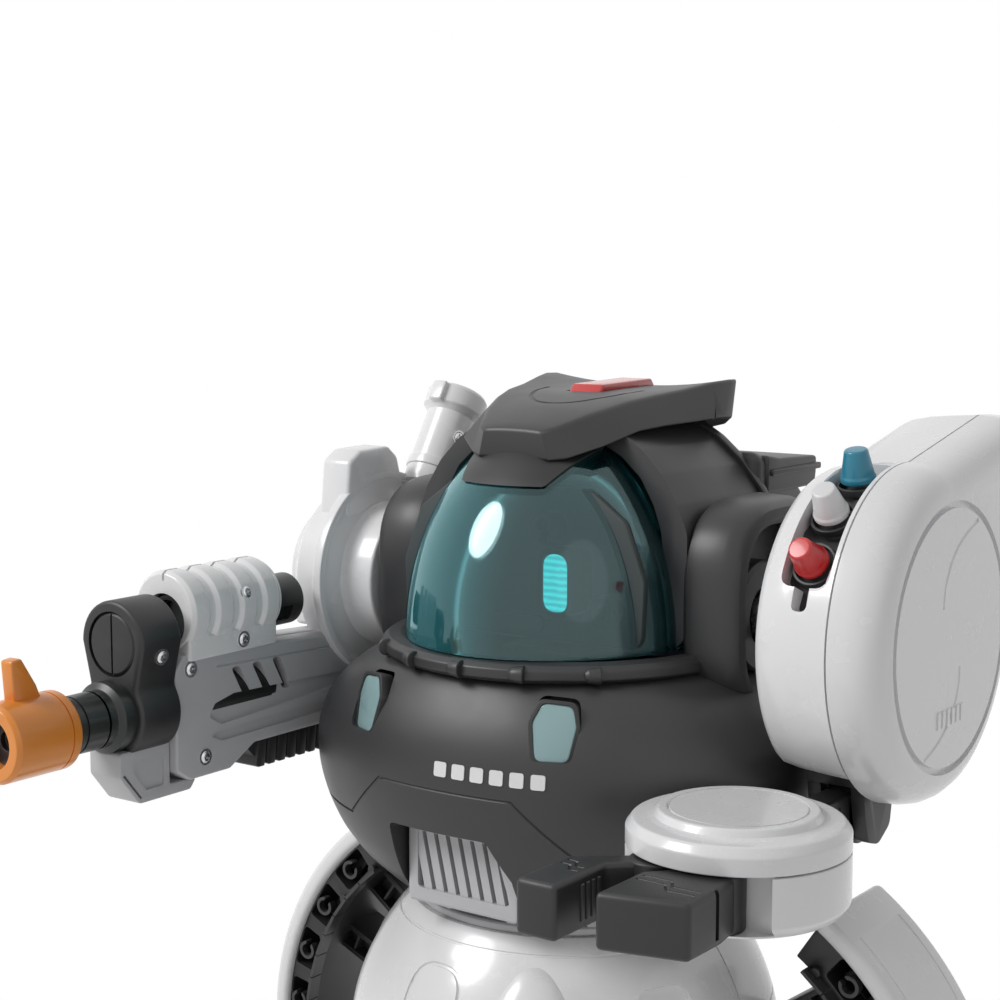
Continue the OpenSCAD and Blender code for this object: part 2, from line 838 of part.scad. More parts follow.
module blaster_inner_half() {
    color("silver") place() gun_half(gun_x + seam_gap / 2, gun_x + gun_half_w);
}

module blaster_outer_half() {
    color("silver") place() gun_half(gun_x - gun_half_w, gun_x - seam_gap / 2);
}

module blaster_barrel() {
    color("#1c1e1e") place() difference() {
        union() {
            rod_y(-137, -40, gun_x, bore_z, barrel_r - 0.1);
            rod_y(-114, -106, gun_x, bore_z, 11.5);
        }
        rod_y(-140, -60, gun_x, bore_z, 5);
    }
}

module blaster_tip() {
    color("#d9731f") place() difference() {
        union() {
            rod_y(-muzzle_reach, -132, gun_x, bore_z, 12.5);
            slab_x(gun_x - 2.5, gun_x + 2.5)
                polygon([[-150, 198], [-140, 198], [-142, 206], [-148, 215], [-152, 215]]);
        }
        rod_y(-muzzle_reach - 1, -137, gun_x, bore_z, 8);
        rod_y(-137 - tiny, -131, gun_x, bore_z, barrel_r - 0.1);
    }
}

module scope_tube() {
    color("#191a1a") place() difference() {
        rod_y(-84, -26.5, gun_x, scope_z, scope_r);
        rod_y(-90, -70, gun_x, scope_z, 6);
        rod_y(-36, -10, gun_x, scope_z, 7);
    }
}

// Ribbed clamp that straps the scope to the body
module scope_clamp() {
    color("white") place() difference() {
        union() {
            block([gun_x - 11, -85, gun_top_z + 0.3], [gun_x + 11, -43, 219]);
            for (y = [-86 : 11.5 : -50])
                rod_y(y, y + 9, gun_x, 220, 14);
            rod_y(-85.6, -42.6, gun_x, 220, 12.8);
        }
        rod_y(-90, -40, gun_x, scope_z, scope_r);
        block([gun_x - 16, -90, 200], [gun_x + 16, -30, gun_top_z + 0.3]);
    }
}

// Black lobed bracket ahead of the body with a round plate on its face
module front_bracket() {
    color("#1e1f1f") place() difference() {
        union() {
            rod_y(-104, gun_front_y - seam_gap, gun_x, bore_z, 13.5);
            rod_y(-104, gun_front_y - seam_gap, gun_x, 213, lobe_r);
            block([gun_x - 9, -104, 195], [gun_x + 9, gun_front_y - seam_gap, 213]);
        }
        rod_y(-110, -80, gun_x, bore_z, barrel_r - 0.1);
        rod_y(-106, -100, gun_x, 213, 10);
    }
}

module under_grip() {
    color("#1b1b1b") place() union() {
        block([gun_x - 8, -52, 167], [gun_x + 8, -12, 171.7]);
        for (y = [-51 : 5.5 : -15])
            block([gun_x - 9, y, 162], [gun_x + 9, y + 3, 168]);
    }
}

module lower_block() {
    color("lightgray") place()
        slab_x(gun_x - 7, gun_x + 7) polygon([[-112, 174], [-112, 166], [-104, 156], [-80, 156], [-76, 161.7],
                                              [gun_front_y - seam_gap, 161.7], [gun_front_y - seam_gap, 174]]);
}

module arm_screws() {
    screw_x = gun_x + gun_half_w;
    color("silver") place()
        for (spot = [[-82, 199], [-72, 168], [-4, 199]])
            rod_x(screw_x, screw_x + 1, spot[0], spot[1], 2.4);
}

pelvis_front_shell();
pelvis_rear_shell();
base_plate();
waist_bearing();
battery_pack();
battery_door();
main_board();
leg_shells();
leg_frames();
leg_struts();
feet();
foot_motors();
wheel_axles();
power_switch();
wheel_front_left();
wheel_rear_left();
wheel_front_right();
wheel_rear_right();
chest_shell();
chest_grille();
headlight_lenses();
collar_ring();
torso_frame();
visor();
face_plate();
eye_panels();
head_front_shell();
head_rear_shell();
cap();
light_bar();
shoulder_pods();
shoulder_motors();
left_drum_inner();
left_drum_outer();
left_shoulder_shaft();
button_plate();
blue_button();
white_button();
red_button();
elbow_bracket();
elbow_pin();
forearm();
hand_upper_shell();
hand_lower_shell();
outer_jaw();
inner_jaw();
right_shoulder_shell();
right_shoulder_shaft();
exhaust_tube();
blaster_inner_half();
blaster_outer_half();
blaster_barrel();
blaster_tip();
scope_tube();
scope_clamp();
front_bracket();
under_grip();
lower_block();
arm_screws();
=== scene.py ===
import json
import math
import bpy
import bmesh
import numpy as np
from mathutils import Matrix, Vector

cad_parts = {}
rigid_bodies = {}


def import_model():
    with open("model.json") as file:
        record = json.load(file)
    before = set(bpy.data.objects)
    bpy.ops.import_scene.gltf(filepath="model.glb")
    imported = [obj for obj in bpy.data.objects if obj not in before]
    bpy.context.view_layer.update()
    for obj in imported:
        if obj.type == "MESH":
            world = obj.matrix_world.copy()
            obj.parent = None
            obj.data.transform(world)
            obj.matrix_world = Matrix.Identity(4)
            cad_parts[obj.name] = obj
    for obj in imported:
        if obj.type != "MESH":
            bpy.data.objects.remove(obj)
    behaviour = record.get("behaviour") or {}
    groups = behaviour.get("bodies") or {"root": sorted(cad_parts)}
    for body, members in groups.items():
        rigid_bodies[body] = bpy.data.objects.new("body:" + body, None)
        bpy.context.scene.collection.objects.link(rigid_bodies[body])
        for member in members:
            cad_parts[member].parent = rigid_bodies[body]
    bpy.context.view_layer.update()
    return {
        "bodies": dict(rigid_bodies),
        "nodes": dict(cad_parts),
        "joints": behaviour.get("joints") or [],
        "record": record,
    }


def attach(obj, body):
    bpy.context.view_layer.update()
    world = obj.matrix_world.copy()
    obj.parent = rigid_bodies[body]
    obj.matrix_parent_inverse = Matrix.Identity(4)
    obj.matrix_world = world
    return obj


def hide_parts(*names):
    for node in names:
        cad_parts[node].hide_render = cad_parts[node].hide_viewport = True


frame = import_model()
jointAt = {joint["name"]: joint for joint in frame["joints"]}
axisY = jointAt["waist_turn"]["pos_m"][1] * 1000      # mm from the frame's origin to the body axis
slotColor = {entry["slot"]: entry["base_color"] for entry in frame["record"]["materials"]}


# placing and building helpers, all sizes in mm about the body axis

def toFrame(mesh):
    mesh.transform(Matrix.Translation((0, axisY / 1000, 0)) @ Matrix.Scale(0.001, 4))


def newObject(name, verts, faces):
    mesh = bpy.data.meshes.new(name)
    mesh.from_pydata([tuple(v) for v in verts], [], [tuple(f) for f in faces])
    mesh.validate()
    obj = bpy.data.objects.new(name, mesh)
    bpy.context.scene.collection.objects.link(obj)
    return obj


def tidyMesh(obj, outward=True):
    bm = bmesh.new()
    bm.from_mesh(obj.data)
    bmesh.ops.remove_doubles(bm, verts=bm.verts, dist=0.002)
    bmesh.ops.dissolve_degenerate(bm, edges=bm.edges, dist=0.001)
    if outward:
        bmesh.ops.recalc_face_normals(bm, faces=bm.faces)
    bm.to_mesh(obj.data)
    bm.free()
    return obj


def applied(obj):
    # the modifiers' result becomes the object's own mesh
    graph = bpy.context.evaluated_depsgraph_get()
    mesh = bpy.data.meshes.new_from_object(obj.evaluated_get(graph), preserve_all_data_layers=True,
                                           depsgraph=graph)
    obj.modifiers.clear()
    old = obj.data
    obj.data = mesh
    bpy.data.meshes.remove(old)
    return obj


def softenEdges(obj, angle=32):
    for poly in obj.data.polygons:
        poly.use_smooth = True
    obj.data.set_sharp_from_angle(angle=math.radians(angle))
    return obj


def bevelled(obj, width, segments=3, angle=28):
    bevel = obj.modifiers.new("bevel", "BEVEL")
    bevel.width = width
    bevel.segments = segments
    bevel.limit_method = "ANGLE"
    bevel.angle_limit = math.radians(angle)
    bevel.harden_normals = False
    bevel.use_clamp_overlap = True
    return applied(obj)


def carved(obj, cutters, operation="DIFFERENCE"):
    for cutter in cutters:
        modifier = obj.modifiers.new("cut", "BOOLEAN")
        modifier.operation = operation
        modifier.object = cutter
        modifier.solver = "EXACT"
        obj = applied(obj)
    for cutter in cutters:
        discard(cutter)
    return obj


def discard(obj):
    mesh = obj.data
    bpy.data.objects.remove(obj)
    bpy.data.meshes.remove(mesh)


def joined(name, objs):
    bm = bmesh.new()
    for obj in objs:
        bm.from_mesh(obj.data)
    mesh = bpy.data.meshes.new(name)
    bm.to_mesh(mesh)
    bm.free()
    for obj in objs:
        discard(obj)
    obj = bpy.data.objects.new(name, mesh)
    bpy.context.scene.collection.objects.link(obj)
    return obj


def mirrored(obj, name):
    mesh = obj.data.copy()
    mesh.transform(Matrix.Scale(-1, 4, (1, 0, 0)))
    mesh.flip_normals()
    copy = bpy.data.objects.new(name, mesh)
    bpy.context.scene.collection.objects.link(copy)
    return copy


def bothSides(obj, name):
    return joined(name, [obj, mirrored(obj, name + "Other")])


# outlines

def roundCorners(points, radius, steps=5, closed=True):
    # fillets a 2D outline; radius is one number or one for each corner
    count = len(points)
    out = []
    for i, corner in enumerate(points):
        size = radius[i] if isinstance(radius, (list, tuple)) else radius
        if size <= 0 or (not closed and i in (0, count - 1)):
            out.append(tuple(corner))
            continue
        here = Vector(corner)
        before = Vector(points[i - 1]) - here
        after = Vector(points[(i + 1) % count]) - here
        turn = before.angle(after, 0)
        if turn < 0.02 or turn > 3.12:
            out.append(tuple(corner))
            continue
        reach = min(size / math.tan(turn / 2), before.length * 0.49, after.length * 0.49)
        start = here + before.normalized() * reach
        end = here + after.normalized() * reach
        for k in range(steps + 1):
            t = k / steps
            out.append(tuple(start.lerp(here, t).lerp(here.lerp(end, t), t)))
    return out


def arcPoints(cx, cy, r, startDeg, endDeg, steps):
    angles = np.radians(np.linspace(startDeg, endDeg, steps + 1))
    return [(cx + r * math.cos(a), cy + r * math.sin(a)) for a in angles]


def slab(name, outline, axis, low, high):
    # an outline in the plane across axis, thickened from low to high; X: (y, z), Y: (x, z), Z: (x, y)
    def at(p, h):
        return {"X": (h, p[0], p[1]), "Y": (p[0], h, p[1]), "Z": (p[0], p[1], h)}[axis]
    count = len(outline)
    verts = [at(p, low) for p in outline] + [at(p, high) for p in outline]
    faces = [tuple(range(count)), tuple(range(2 * count - 1, count - 1, -1))]
    faces += [(i, (i + 1) % count, (i + 1) % count + count, i + count) for i in range(count)]
    return tidyMesh(newObject(name, verts, faces))


def box(name, low, high):
    (x0, y0, z0), (x1, y1, z1) = low, high
    return slab(name, [(x0, y0), (x1, y0), (x1, y1), (x0, y1)], "Z", z0, z1)


def turned(name, profile, axis, centre, steps=72):
    # profile of (radius, height) pairs spun about an axis through centre
    verts = []
    faces = []
    rings = []
    for r, h in profile:
        if r < 1e-6:
            rings.append([len(verts)] * steps)
            verts.append((0.0, 0.0, h))
            continue
        rings.append(list(range(len(verts), len(verts) + steps)))
        verts += [(r * math.cos(2 * math.pi * i / steps), r * math.sin(2 * math.pi * i / steps), h)
                  for i in range(steps)]
    for low, high in zip(rings, rings[1:]):
        for i in range(steps):
            j = (i + 1) % steps
            face = [low[i], low[j], high[j], high[i]]
            kept = [v for n, v in enumerate(face) if v not in face[:n]]
            if len(kept) > 2:
                faces.append(kept)
    obj = newObject(name, verts, faces)
    turn = {"X": Matrix.Rotation(math.pi / 2, 4, "Y"), "Y": Matrix.Rotation(-math.pi / 2, 4, "X"),
            "Z": Matrix.Identity(4)}[axis]
    obj.data.transform(Matrix.Translation(centre) @ turn)
    return tidyMesh(obj)


def rounded(profile, radius, steps=4):
    return roundCorners(profile, radius, steps, closed=False)


def gridPiece(name, spot, across, along, wrap=True):
    # a skin from spot(u, v) with u around and v from one pole cap to the other
    verts = [spot(u / across, v / (along - 1)) for v in range(along) for u in range(across)]
    faces = []
    last = across if wrap else across - 1
    for v in range(along - 1):
        for u in range(last):
            a = v * across + u
            b = v * across + (u + 1) % across
            faces.append((a, b, b + across, a + across))
    if wrap:
        faces.append(tuple(range(across)))
        faces.append(tuple(range((along - 1) * across, along * across)))
    return tidyMesh(newObject(name, verts, faces))


def tube(name, path, radius, sides=8, closed=False):
    # a round bar along points, for grooves, beads and cords of light
    points = [Vector(p) for p in path]
    count = len(points)
    verts = []
    up = Vector((0.13, 0.21, 0.97))
    for i, p in enumerate(points):
        ahead = points[(i + 1) % count] if closed or i < count - 1 else p
        behind = points[i - 1] if closed or i else p
        run = (ahead - behind).normalized()
        side = run.cross(up)
        if side.length < 0.1:
            side = run.cross(Vector((1, 0, 0)))
        side.normalize()
        lift = side.cross(run)
        verts += [p + (side * math.cos(2 * math.pi * k / sides) + lift * math.sin(2 * math.pi * k / sides))
                  * radius for k in range(sides)]
    faces = []
    for i in range(count if closed else count - 1):
        for k in range(sides):
            a, b = i * sides + k, i * sides + (k + 1) % sides
            c, d = (i + 1) % count * sides + (k + 1) % sides, (i + 1) % count * sides + k
            faces.append((a, b, c, d))
    if not closed:
        faces.append(tuple(range(sides)))
        faces.append(tuple(range((count - 1) * sides, count * sides)))
    return tidyMesh(newObject(name, verts, faces))


def finish(obj, body, slot, material, *nodes, angle=32):
    softenEdges(obj, angle)
    toFrame(obj.data)
    obj.data.materials.clear()
    obj.data.materials.append(material)
    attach(obj, body)
    if nodes:
        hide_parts(*nodes)
    return obj


print("helpers ready")


# materials

def nodeGroup(name, inputs, outputs):
    group = bpy.data.node_groups.new(name, "ShaderNodeTree")
    for label, kind, value in inputs:
        socket = group.interface.new_socket(label, in_out="INPUT", socket_type=kind)
        socket.default_value = value
    for label, kind in outputs:
        group.interface.new_socket(label, in_out="OUTPUT", socket_type=kind)
    return group, group.nodes.new("NodeGroupInput"), group.nodes.new("NodeGroupOutput")


def mathNode(nodes, links, kind, a, b, clamp=False):
    node = nodes.new("ShaderNodeMath")
    node.operation = kind
    node.use_clamp = clamp
    for socket, value in zip(node.inputs, (a, b)):
        if isinstance(value, (int, float)):
            socket.default_value = value
        else:
            links.new(value, socket)
    return node.outputs[0]


def buildMouldedSkin():
    # fine spark-eroded grain, slow tone drift, rubbed edges and a trace of dust on top faces
    group, gin, gout = nodeGroup("mouldedSkin", [
        ("Color", "NodeSocketColor", (0.5, 0.5, 0.5, 1)), ("Grain Size", "NodeSocketFloat", 1800.0),
        ("Grain", "NodeSocketFloat", 0.3), ("Drift", "NodeSocketFloat", 0.06),
                                                 ("Gloss", "NodeSocketFloat", 0.35),
        ("Rub", "NodeSocketFloat", 0.25), ("Dust", "NodeSocketFloat", 0.04)],
        [("Color", "NodeSocketColor"), ("Roughness", "NodeSocketFloat"), ("Height", "NodeSocketFloat")])
    nodes, links = group.nodes, group.links
    coords = nodes.new("ShaderNodeTexCoord")

    def noise(scale, detail):
        node = nodes.new("ShaderNodeTexNoise")
        node.inputs["Detail"].default_value = detail
        node.inputs["Scale"].default_value = scale
        links.new(coords.outputs["Object"], node.inputs["Vector"])
        return node
    grain = noise(1800, 2)
    links.new(gin.outputs["Grain Size"], grain.inputs["Scale"])
    drift = noise(22, 3)
    smear = noise(70, 5)
    geometry = nodes.new("ShaderNodeNewGeometry")
    edge = nodes.new("ShaderNodeMapRange")
    edge.inputs["From Min"].default_value = 0.53
    edge.inputs["From Max"].default_value = 0.62
    links.new(geometry.outputs["Pointiness"], edge.inputs["Value"])
    broken = mathNode(nodes, links, "MULTIPLY", edge.outputs[0], smear.outputs["Fac"])
    rub = mathNode(nodes, links, "MULTIPLY", broken, gin.outputs["Rub"], True)
    upward = nodes.new("ShaderNodeSeparateXYZ")
    links.new(geometry.outputs["Normal"], upward.inputs[0])
    lift = nodes.new("ShaderNodeMapRange")
    lift.inputs["From Min"].default_value = 0.6
    lift.inputs["From Max"].default_value = 1.0
    links.new(upward.outputs["Z"], lift.inputs["Value"])
    speck = mathNode(nodes, links, "MULTIPLY", lift.outputs[0], smear.outputs["Fac"])
    dust = mathNode(nodes, links, "MULTIPLY", speck, gin.outputs["Dust"], True)
    tone = nodes.new("ShaderNodeHueSaturation")
    links.new(gin.outputs["Color"], tone.inputs["Color"])
    centred = mathNode(nodes, links, "SUBTRACT", drift.outputs["Fac"], 0.5)
    swing = mathNode(nodes, links, "MULTIPLY", centred, gin.outputs["Drift"])
    links.new(mathNode(nodes, links, "ADD", swing, 1.0), tone.inputs["Value"])
    worn = nodes.new("ShaderNodeMix")
    worn.data_type = "RGBA"
    worn.inputs[7].default_value = (0.72, 0.72, 0.72, 1)
    links.new(rub, worn.inputs[0])
    links.new(tone.outputs[0], worn.inputs[6])
    dusty = nodes.new("ShaderNodeMix")
    dusty.data_type = "RGBA"
    dusty.inputs[7].default_value = (0.55, 0.53, 0.5, 1)
    links.new(dust, dusty.inputs[0])
    links.new(worn.outputs[2], dusty.inputs[6])
    links.new(dusty.outputs[2], gout.inputs["Color"])
    spread = mathNode(nodes, links, "MULTIPLY", mathNode(nodes, links, "SUBTRACT", smear.outputs["Fac"], 0.5),
                      0.14)
    links.new(mathNode(nodes, links, "ADD", mathNode(nodes, links, "ADD", gin.outputs["Gloss"], spread),
                       mathNode(nodes, links, "MULTIPLY", dust, 0.6), True), gout.inputs["Roughness"])
    links.new(mathNode(nodes, links, "MULTIPLY", grain.outputs["Fac"], gin.outputs["Grain"]),
              gout.inputs["Height"])
    return group


mouldedSkin = buildMouldedSkin()


def plasticMaterial(name, color, gloss=0.35, grain=0.3, drift=0.08, rub=0.15, dust=0.03, coat=0.0,
                    grainSize=1800, bump=0.00006, specular=0.5, **settings):
    material = bpy.data.materials.new(name)
    material.use_nodes = True
    nodes, links = material.node_tree.nodes, material.node_tree.links
    shader = nodes["Principled BSDF"]
    skin = nodes.new("ShaderNodeGroup")
    skin.node_tree = mouldedSkin
    skin.inputs["Color"].default_value = (*color[:3], 1)
    for label, value in (("Grain Size", grainSize), ("Grain", grain), ("Drift", drift), ("Gloss", gloss),
                         ("Rub", rub), ("Dust", dust)):
        skin.inputs[label].default_value = value
    bumpNode = nodes.new("ShaderNodeBump")
    bumpNode.inputs["Distance"].default_value = bump
    bumpNode.inputs["Strength"].default_value = 0.5
    links.new(skin.outputs["Color"], shader.inputs["Base Color"])
    links.new(skin.outputs["Roughness"], shader.inputs["Roughness"])
    links.new(skin.outputs["Height"], bumpNode.inputs["Height"])
    links.new(bumpNode.outputs["Normal"], shader.inputs["Normal"])
    shader.inputs["Coat Weight"].default_value = coat
    shader.inputs["Coat Roughness"].default_value = 0.08
    shader.inputs["Specular IOR Level"].default_value = specular
    for label, value in settings.items():
        shader.inputs[label.replace("_", " ")].default_value = value
    return material


def glassMaterial(name, color, alpha, roughness=0.04, darkScale=0.75, highlightScale=1.25, axis="Z", low=0.21, high=0.275):
    # tinted clear moulding: partly see-through and glossy; its colour runs along one axis from a darker tone
    # to a painted highlight where light falls on it
    material = bpy.data.materials.new(name)
    material.use_nodes = True
    nodes, links = material.node_tree.nodes, material.node_tree.links
    shader = nodes["Principled BSDF"]
    coords = nodes.new("ShaderNodeTexCoord")
    cloud = nodes.new("ShaderNodeTexNoise")
    cloud.inputs["Scale"].default_value = 40
    links.new(coords.outputs["Object"], cloud.inputs["Vector"])
    ramp = nodes.new("ShaderNodeMapRange")
    ramp.inputs["To Min"].default_value = roughness
    ramp.inputs["To Max"].default_value = roughness + 0.03
    links.new(cloud.outputs["Fac"], ramp.inputs["Value"])
    links.new(ramp.outputs[0], shader.inputs["Roughness"])
    height = nodes.new("ShaderNodeSeparateXYZ")
    links.new(coords.outputs["Object"], height.inputs[0])
    # painted highlight: along the axis the colour goes from the darker tone at low to the lighter tone at
    # high, standing for light falling on that side
    highlightRamp = nodes.new("ShaderNodeMapRange")
    highlightRamp.inputs["From Min"].default_value = low
    highlightRamp.inputs["From Max"].default_value = high
    links.new(height.outputs[axis], highlightRamp.inputs["Value"])
    mix = nodes.new("ShaderNodeMix")
    mix.data_type = "RGBA"
    mix.inputs[6].default_value = (*(c * darkScale for c in color[:3]), 1)
    mix.inputs[7].default_value = (*(min(c * highlightScale, 1) for c in color[:3]), 1)
    links.new(highlightRamp.outputs[0], mix.inputs[0])
    links.new(mix.outputs[2], shader.inputs["Base Color"])
    shader.inputs["Alpha"].default_value = alpha
    shader.inputs["IOR"].default_value = 1.5
    shader.inputs["Coat Weight"].default_value = 1.0
    shader.inputs["Coat Roughness"].default_value = 0.02
    sheen = nodes.new("ShaderNodeBsdfAnisotropic")
    sheen.inputs["Roughness"].default_value = 0.08
    sheen.inputs["Color"].default_value = (0.3, 0.72, 0.76, 1)
    fresnel = nodes.new("ShaderNodeFresnel")
    blend = nodes.new("ShaderNodeMixShader")
    links.new(fresnel.outputs[0], blend.inputs[0])
    links.new(shader.outputs[0], blend.inputs[1])
    links.new(sheen.outputs[0], blend.inputs[2])
    links.new(blend.outputs[0], nodes["Material Output"].inputs["Surface"])
    return material


def glowMaterial(name, color, strength):
    # lit diffuser with fine horizontal light lines
    material = bpy.data.materials.new(name)
    material.use_nodes = True
    nodes, links = material.node_tree.nodes, material.node_tree.links
    shader = nodes["Principled BSDF"]
    coords = nodes.new("ShaderNodeTexCoord")
    wave = nodes.new("ShaderNodeTexWave")
    wave.bands_direction = "Z"
    wave.inputs["Scale"].default_value = 150
    wave.inputs["Distortion"].default_value = 1.5
    wave.inputs["Detail Scale"].default_value = 3
    links.new(coords.outputs["Object"], wave.inputs["Vector"])
    mix = nodes.new("ShaderNodeMix")
    mix.data_type = "RGBA"
    mix.inputs[6].default_value = (*(c * 0.62 for c in color), 1)
    mix.inputs[7].default_value = (*color, 1)
    links.new(wave.outputs["Fac"], mix.inputs[0])
    links.new(mix.outputs[2], shader.inputs["Base Color"])
    links.new(mix.outputs[2], shader.inputs["Emission Color"])
    shader.inputs["Emission Strength"].default_value = strength
    shader.inputs["Roughness"].default_value = 0.4
    return material


def metalMaterial(name, color, gloss=0.28):
    material = plasticMaterial(name, color, gloss=gloss, grain=0.25, rub=0.0, dust=0.02, grainSize=2600)
    material.node_tree.nodes["Principled BSDF"].inputs["Metallic"].default_value = 1.0
    return material


toneScale = {"charcoal": 0.62, "black": 0.7, "grey": 1.4}      # slot colour to lit surface


def toned(slot, scale):
    return [c * scale for c in slotColor[slot][:3]]


finishes = {
    "white": plasticMaterial("whiteShell", slotColor["white_shell"], gloss=0.26, grain=0.1, drift=0.03,
                             rub=0.0, dust=0.05, coat=0.35),
    "charcoal": plasticMaterial("charcoalShell", toned("charcoal_shell", toneScale["charcoal"]), gloss=0.42,
                                grain=0.5, rub=0.05),
    "black": plasticMaterial("blackFrame", toned("black_frame", toneScale["black"]), gloss=0.45, grain=0.5,
                             rub=0.06),
    "barrel": plasticMaterial("barrelBlack", slotColor["barrel_black"], gloss=0.36, grain=0.3, rub=0.05),
    "grey": plasticMaterial("blasterGrey", toned("blaster_grey", toneScale["grey"]), gloss=0.4, grain=0.4,
                            rub=0.05),
    "orange": plasticMaterial("safetyOrange", slotColor["safety_orange"], gloss=0.3, grain=0.2, rub=0.0,
                              coat=0.2),
    "lampRed": plasticMaterial("lampRed", slotColor["lamp_red"], gloss=0.22, grain=0.1, rub=0.0, coat=0.5),
    "blue": plasticMaterial("buttonBlue", slotColor["button_blue"], gloss=0.3, grain=0.2, rub=0.0, coat=0.2),
    "buttonWhite": plasticMaterial("buttonWhite", slotColor["button_white"], gloss=0.3, grain=0.2, rub=0.0),
    "red": plasticMaterial("buttonRed", slotColor["button_red"], gloss=0.28, grain=0.2, rub=0.0, coat=0.3),
    # visor: painted lighter towards its left side (negative x), a painted highlight for the reflection of a
    # light on the left; the right side keeps the dark tint
    "visor": glassMaterial("visorTint", slotColor["visor_tint"], 0.42, darkScale=0.16, highlightScale=2.6, axis="X",
                           low=0.012,
                           high=-0.05),
    "lens": glassMaterial("headlightLens", slotColor["lens"], 0.75, 0.1),
    "face": plasticMaterial("faceDark", slotColor["face_dark"], gloss=0.5, grain=0.4, rub=0.0),
    "glow": glowMaterial("eyeGlow", slotColor["eye_glow"][:3], 2.4),
    "inner": plasticMaterial("innerPlastic", slotColor["inner_plastic"], gloss=0.5, grain=0.5, rub=0.0),
    "metal": metalMaterial("plainSteel", slotColor["metal"]),
    "rubber": plasticMaterial("wheelRubber", slotColor["wheel_rubber"], gloss=0.75, grain=1.0, rub=0.0,
                              dust=0.12,
                              grainSize=900, bump=0.0002),
    "board": plasticMaterial("boardGreen", slotColor["board_green"], gloss=0.3, grain=0.6, rub=0.0),
    "battery": plasticMaterial("batteryWrap", slotColor["battery_wrap"], gloss=0.25, grain=0.2, rub=0.0),
}
slotFinish = {
    "white_shell": "white", "charcoal_shell": "charcoal", "black_frame": "black", "barrel_black": "barrel",
    "blaster_grey": "grey", "safety_orange": "orange", "lamp_red": "lampRed", "button_blue": "blue",
    "button_white": "buttonWhite", "button_red": "red", "visor_tint": "visor", "lens": "lens",
    "face_dark": "face", "eye_glow": "glow", "inner_plastic": "inner", "metal": "metal",
    "wheel_rubber": "rubber", "board_green": "board", "battery_wrap": "battery"}
for part in frame["record"]["subparts"]:
    node = frame["nodes"][part["node"]]
    node.data.materials.clear()
    node.data.materials.append(finishes[slotFinish[part["material_slot"]]])
print("materials ready")


# camera, light and floor

stageSettings = {
    "azimuth": 36.0, "tilt": 6.75, "aimHeight": 215.0, "distance": 650.0,      # degrees and mm
    "lens": 70.24, "offCentre": (21.99, -40.65),                               # mm beside the aim point
    "keyPower": 14.0, "fillPower": 0.6, "worldLight": 0.36,
}


def buildCamera(s):
    turn, tilt = math.radians(s["azimuth"]), math.radians(s["tilt"])
    right = Vector((math.cos(turn), math.sin(turn), 0))
    ahead = Vector((-math.sin(turn) * math.cos(tilt), math.cos(turn) * math.cos(tilt), -math.sin(tilt)))
    up = right.cross(ahead)
    aim = Vector((0, axisY, s["aimHeight"]))
    spot = aim - right * s["offCentre"][0] - up * s["offCentre"][1] - ahead * s["distance"]
    data = bpy.data.cameras.new("mainCamera")
    data.lens = s["lens"]
    data.clip_start = 0.01
    data.clip_end = 20
    camera = bpy.data.objects.new("mainCamera", data)
    bpy.context.scene.collection.objects.link(camera)
    camera.matrix_world = Matrix.Translation(spot * 0.001) @ Matrix((right, up, -ahead)).transposed().to_4x4()
    bpy.context.scene.camera = camera


def areaLight(name, spot, aim, size, power):
    data = bpy.data.lights.new(name, "AREA")
    data.shape = "DISK"
    data.size = size
    data.energy = power
    light = bpy.data.objects.new(name, data)
    bpy.context.scene.collection.objects.link(light)
    spot, aim = Vector(spot), Vector(aim)
    light.matrix_world = Matrix.Translation(spot) @ (aim - spot).to_track_quat("-Z", "Y").to_matrix().to_4x4()


def whiteToCamera(nodes, links, plain, output):
    # the camera, mirrors and clear parts see plain white; the object is lit by the plain value
    path = nodes.new("ShaderNodeLightPath")
    seen = mathNode(nodes, links, "ADD", path.outputs["Is Camera Ray"], path.outputs["Is Glossy Ray"])
    seen = mathNode(nodes, links, "ADD", seen, path.outputs["Is Transmission Ray"], True)
    mix = nodes.new("ShaderNodeMixShader")
    links.new(seen, mix.inputs[0])
    links.new(plain, mix.inputs[1])
    links.new(mix.outputs[0], output)
    return mix


def buildStage(s):
    world = bpy.data.worlds.new("studio")
    bpy.context.scene.world = world
    world.use_nodes = True
    nodes, links = world.node_tree.nodes, world.node_tree.links
    light = nodes["Background"]
    light.inputs["Color"].default_value = (1, 1, 1, 1)
    light.inputs["Strength"].default_value = s["worldLight"]
    backdrop = nodes.new("ShaderNodeBackground")
    backdrop.inputs["Color"].default_value = (1, 1, 1, 1)
    backdrop.inputs["Strength"].default_value = 1.0
    mix = whiteToCamera(nodes, links, light.outputs[0], nodes["World Output"].inputs["Surface"])
    links.new(backdrop.outputs[0], mix.inputs[2])
    mesh = bpy.data.meshes.new("floor")
    reach = 3.0
    mesh.from_pydata([(-reach, -reach, -0.0004), (reach, -reach, -0.0004), (reach, reach, -0.0004),
                      (-reach, reach, -0.0004)], [], [(0, 1, 2, 3)])
    floor = bpy.data.objects.new("floor", mesh)
    bpy.context.scene.collection.objects.link(floor)
    material = bpy.data.materials.new("paleFloor")
    material.use_nodes = True
    nodes, links = material.node_tree.nodes, material.node_tree.links
    shader = nodes["Principled BSDF"]
    shader.inputs["Base Color"].default_value = (0.85, 0.85, 0.85, 1)
    shader.inputs["Roughness"].default_value = 0.7
    plain = nodes.new("ShaderNodeEmission")
    mix = whiteToCamera(nodes, links, shader.outputs[0], nodes["Material Output"].inputs["Surface"])
    links.new(plain.outputs[0], mix.inputs[2])
    mesh.materials.append(material)
    areaLight("keyLight", (-0.75, -0.9, 1.15), (0, 0.03, 0.2), 0.7, s["keyPower"])
    areaLight("fillLight", (1.1, -0.6, 0.7), (0, 0.03, 0.18), 0.9, s["fillPower"])
    bpy.context.scene.view_settings.view_transform = "Standard"


buildCamera(stageSettings)
buildStage(stageSettings)
print("stage ready")


# chest

